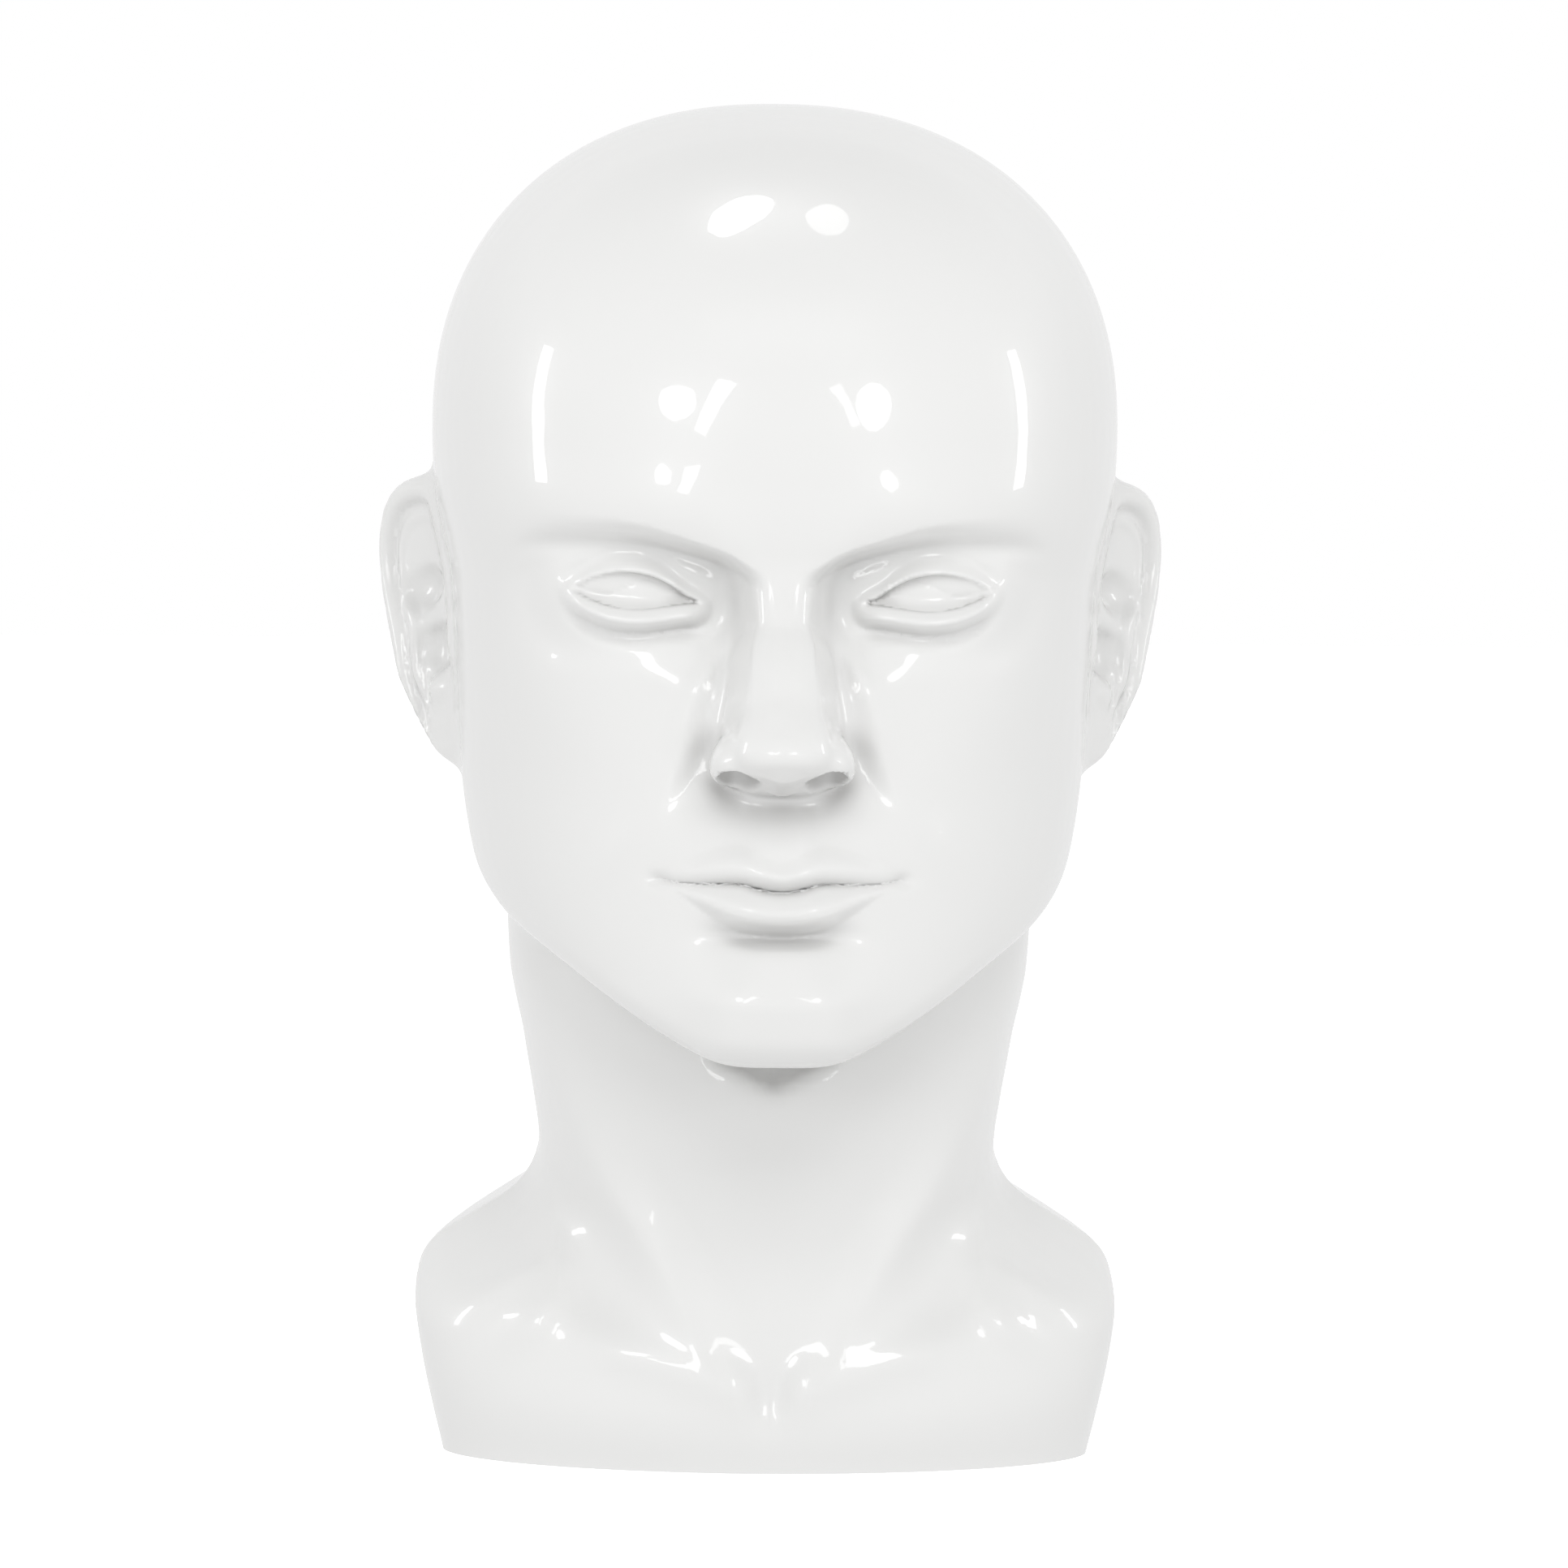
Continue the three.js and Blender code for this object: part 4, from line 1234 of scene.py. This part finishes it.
def show_camera(tree: bpy.types.NodeTree, seen: bpy.types.NodeSocket,
                lit: bpy.types.NodeSocket) -> bpy.types.NodeSocket:
    """Shows the camera one shader, and lights everything else with another.

    Args:
        tree: Where to add the choice.
        seen: The shader that the camera sees.
        lit: The shader for everything else.

    Returns:
        The shader that chooses.
    """
    path = add_node(tree, "ShaderNodeLightPath", {}, {})
    choice = add_node(tree, "ShaderNodeMixShader", {},
                      {"Fac": path.outputs["Is Camera Ray"], 1: lit, 2: seen})
    return choice.outputs["Shader"]


def add_object(name: str, data: bpy.types.ID) -> bpy.types.Object:
    """Puts a mesh, a light or a camera into the scene.

    Args:
        name: The new object's name.
        data: What it holds.

    Returns:
        The object.
    """
    thing = bpy.data.objects.new(name, data)
    bpy.context.scene.collection.objects.link(thing)
    return thing


# The studio

class LampShape(Enum):
    """The outline of a lamp."""

    STRIP = "RECTANGLE"
    OVAL = "ELLIPSE"


@dataclass(frozen=True)
class Lamp:
    """A soft lamp that points at the head.

    turn rolls it about the way it points, and mirrored says whether the lacquer mirrors it.
    """

    name: str
    shape: LampShape
    towards: Point
    distance: float
    width: float
    height: float
    power: float
    turn: float = 0.0
    mirrored: bool = True

    def place(self, target: Vector) -> None:
        """Makes the lamp.

        Args:
            target: What it points at.
        """
        data = bpy.data.lights.new(self.name, "AREA")
        data.shape = self.shape.value
        data.size = self.width
        data.size_y = self.height
        data.energy = self.power
        lamp = add_object(self.name, data)
        lamp.visible_glossy = self.mirrored
        direction = Vector(self.towards).normalized()
        lamp.location = target + direction * self.distance
        aimed = (-direction).to_track_quat("-Z", "Y")
        lamp.rotation_euler = (aimed @ Quaternion((0, 0, 1), self.turn)).to_euler()


@dataclass(frozen=True)
class Studio:
    """A white studio: a pale floor, a bright surround, soft lamps and the camera.

    The surround's light goes from behind_light to ahead_light as the way to it turns from back_y to
    front_y. Past over_from on the way over_way it is changed by up to over_light, a loss. floor_light
    is what the head gets from the floor, and floor_glow lifts the floor's own look to that of the walls.
    """

    camera_distance: float = 2.2
    elevation: float = math.radians(4.5)
    azimuth: float = math.radians(-1.6)
    roll: float = math.radians(0.6)
    frame_width: float = 0.3672
    sensor: float = 36.0
    aim: Point = (0.003, 0.0, 0.1567)
    ahead_light: float = 0.866
    behind_light: float = 0.885
    front_y: float = -0.8
    back_y: float = 0.1
    over_light: float = -0.52
    over_way: Point = (0, -0.3, 0.954)
    over_from: float = 0.3
    floor_half: float = 3.0
    floor_colour: str = "F4F4F4"
    floor_roughness: float = 0.9
    floor_glow: float = 0.5
    floor_light: float = 0.87
    lamps: tuple[Lamp, ...] = (
        Lamp("overhead_left", LampShape.OVAL, (-0.085, 0.03, 1.0), 1.2, 0.42, 0.17, 1.1),
        Lamp("overhead_right", LampShape.OVAL, (0.11, 0.0, 1.0), 1.2, 0.30, 0.14, 0.25),
        Lamp("left_front_oval", LampShape.OVAL, (-0.445, -0.88, 0.215), 1.5, 0.34, 0.30, 1.1),
        Lamp("left_inner_strip", LampShape.STRIP, (-0.25, -0.96, 0.21), 1.5, 0.13, 0.50, 0.8, -0.45),
        Lamp("right_front_oval", LampShape.OVAL, (0.38, -0.91, 0.215), 1.5, 0.28, 0.38, 1.1),
        Lamp("right_inner_strip", LampShape.STRIP, (0.24, -0.96, 0.22), 1.5, 0.08, 0.36, 0.26, 0.45),
        Lamp("left_strip", LampShape.STRIP, (-1.0, -0.01, 0.21), 1.3, 0.15, 0.50, 1.2),
        Lamp("right_strip", LampShape.STRIP, (1.0, -0.025, 0.21), 1.3, 0.13, 0.48, 1.0),
        Lamp("front_softbox", LampShape.STRIP, (0.04, -0.78, 0.66), 2.5, 1.6, 0.9, 19.6, 0.0, False),
    )

    def build(self, set_back: float) -> None:
        """Sets up the camera, the lamps, the surround and the floor.

        Args:
            set_back: How far the middle of the skull lies behind the part's origin, in metres.
        """
        target = Vector(self.aim) + Vector((0, set_back, 0))
        self.add_camera(target)
        for lamp in self.lamps:
            lamp.place(target)
        self.add_surround()
        self.add_floor()

    def add_camera(self, target: Vector) -> None:
        """Puts the camera at the photograph's angle.

        Args:
            target: What it looks at.
        """
        back = Vector((math.sin(self.azimuth) * math.cos(self.elevation),
                       -math.cos(self.azimuth) * math.cos(self.elevation), math.sin(self.elevation)))
        right = Vector((math.cos(self.azimuth), math.sin(self.azimuth), 0))
        up = back.cross(right)
        turned = right * math.cos(self.roll) + up * math.sin(self.roll)
        tall = up * math.cos(self.roll) - right * math.sin(self.roll)
        data = bpy.data.cameras.new("camera")
        data.sensor_width = self.sensor
        data.lens = self.sensor * self.camera_distance / self.frame_width
        camera = add_object("camera", data)
        turn = Matrix((turned, tall, back)).transposed().to_4x4()
        camera.matrix_world = Matrix.Translation(target + back * self.camera_distance) @ turn
        bpy.context.scene.camera = camera

    def add_surround(self) -> None:
        """Makes the studio's walls: white to the camera and less bright to the head, least overhead."""
        world = bpy.data.worlds.new("studio")
        bpy.context.scene.world = world
        world.use_nodes = True
        tree = world.node_tree
        output = tree.nodes["World Output"]
        walls = tree.nodes["Background"]
        walls.inputs["Color"].default_value = hex_colour("FFFFFF")
        way = add_node(tree, "ShaderNodeTexCoord", {}, {}).outputs["Generated"]
        parts = add_node(tree, "ShaderNodeSeparateXYZ", {}, {"Vector": way})
        level = add_node(tree, "ShaderNodeMapRange",
                         {"From Min": self.back_y, "From Max": self.front_y,
                          "To Min": self.behind_light, "To Max": self.ahead_light},
                         {"Value": parts.outputs["Y"]})
        upward = add_node(tree, "ShaderNodeVectorMath", {}, {"Vector": way})
        upward.operation = "DOT_PRODUCT"
        upward.inputs[1].default_value = self.over_way
        over = add_node(tree, "ShaderNodeMapRange",
                        {"From Min": self.over_from, "From Max": 1.0,
                         "To Min": 0.0, "To Max": self.over_light},
                        {"Value": upward.outputs["Value"]})
        total = add_node(tree, "ShaderNodeMath", {},
                         {0: level.outputs["Result"], 1: over.outputs["Result"]})
        tree.links.new(total.outputs["Value"], walls.inputs["Strength"])
        paper = add_node(tree, "ShaderNodeBackground", {"Color": (1, 1, 1, 1), "Strength": 1.0}, {})
        shown = show_camera(tree, paper.outputs["Background"], walls.outputs["Background"])
        tree.links.new(shown, output.inputs["Surface"])
        bpy.context.scene.view_settings.view_transform = "Standard"

    def add_floor(self) -> None:
        """Lays the pale floor: lit paper that runs into the walls and takes only a faint shadow."""
        mesh = bpy.data.meshes.new("floor")
        half = self.floor_half
        corners = [(-half, -half, 0), (half, -half, 0), (half, half, 0), (-half, half, 0)]
        mesh.from_pydata(corners, [], [(0, 1, 2, 3)])
        paper = bpy.data.materials.new("white_paper")
        paper.use_nodes = True
        tree = paper.node_tree
        shader = tree.nodes["Principled BSDF"]
        shader.inputs["Base Color"].default_value = hex_colour(self.floor_colour)
        shader.inputs["Roughness"].default_value = self.floor_roughness
        glow = add_node(tree, "ShaderNodeEmission", {"Strength": self.floor_glow}, {})
        bright = add_node(tree, "ShaderNodeAddShader", {},
                          {0: shader.outputs["BSDF"], 1: glow.outputs["Emission"]})
        plain = add_node(tree, "ShaderNodeEmission", {"Strength": self.floor_light}, {})
        shown = show_camera(tree, bright.outputs["Shader"], plain.outputs["Emission"])
        tree.links.new(shown, tree.nodes["Material Output"].inputs["Surface"])
        mesh.materials.append(paper)
        add_object("floor", mesh)


def main() -> None:
    """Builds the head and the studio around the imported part."""
    logging.basicConfig(level=logging.INFO, format="%(name)s: %(message)s")
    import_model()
    piece = MouldedHead()
    studio = Studio()
    studio.build(piece.set_back * MM)
    log.info("studio: camera and %d lamps", len(studio.lamps))
    head = piece.build(GlossLacquer().material())
    log.info("%s: %d faces", head.name, len(head.data.polygons))
    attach(head, "root")
    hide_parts(piece.node)


if __name__ == "__main__":
    main()
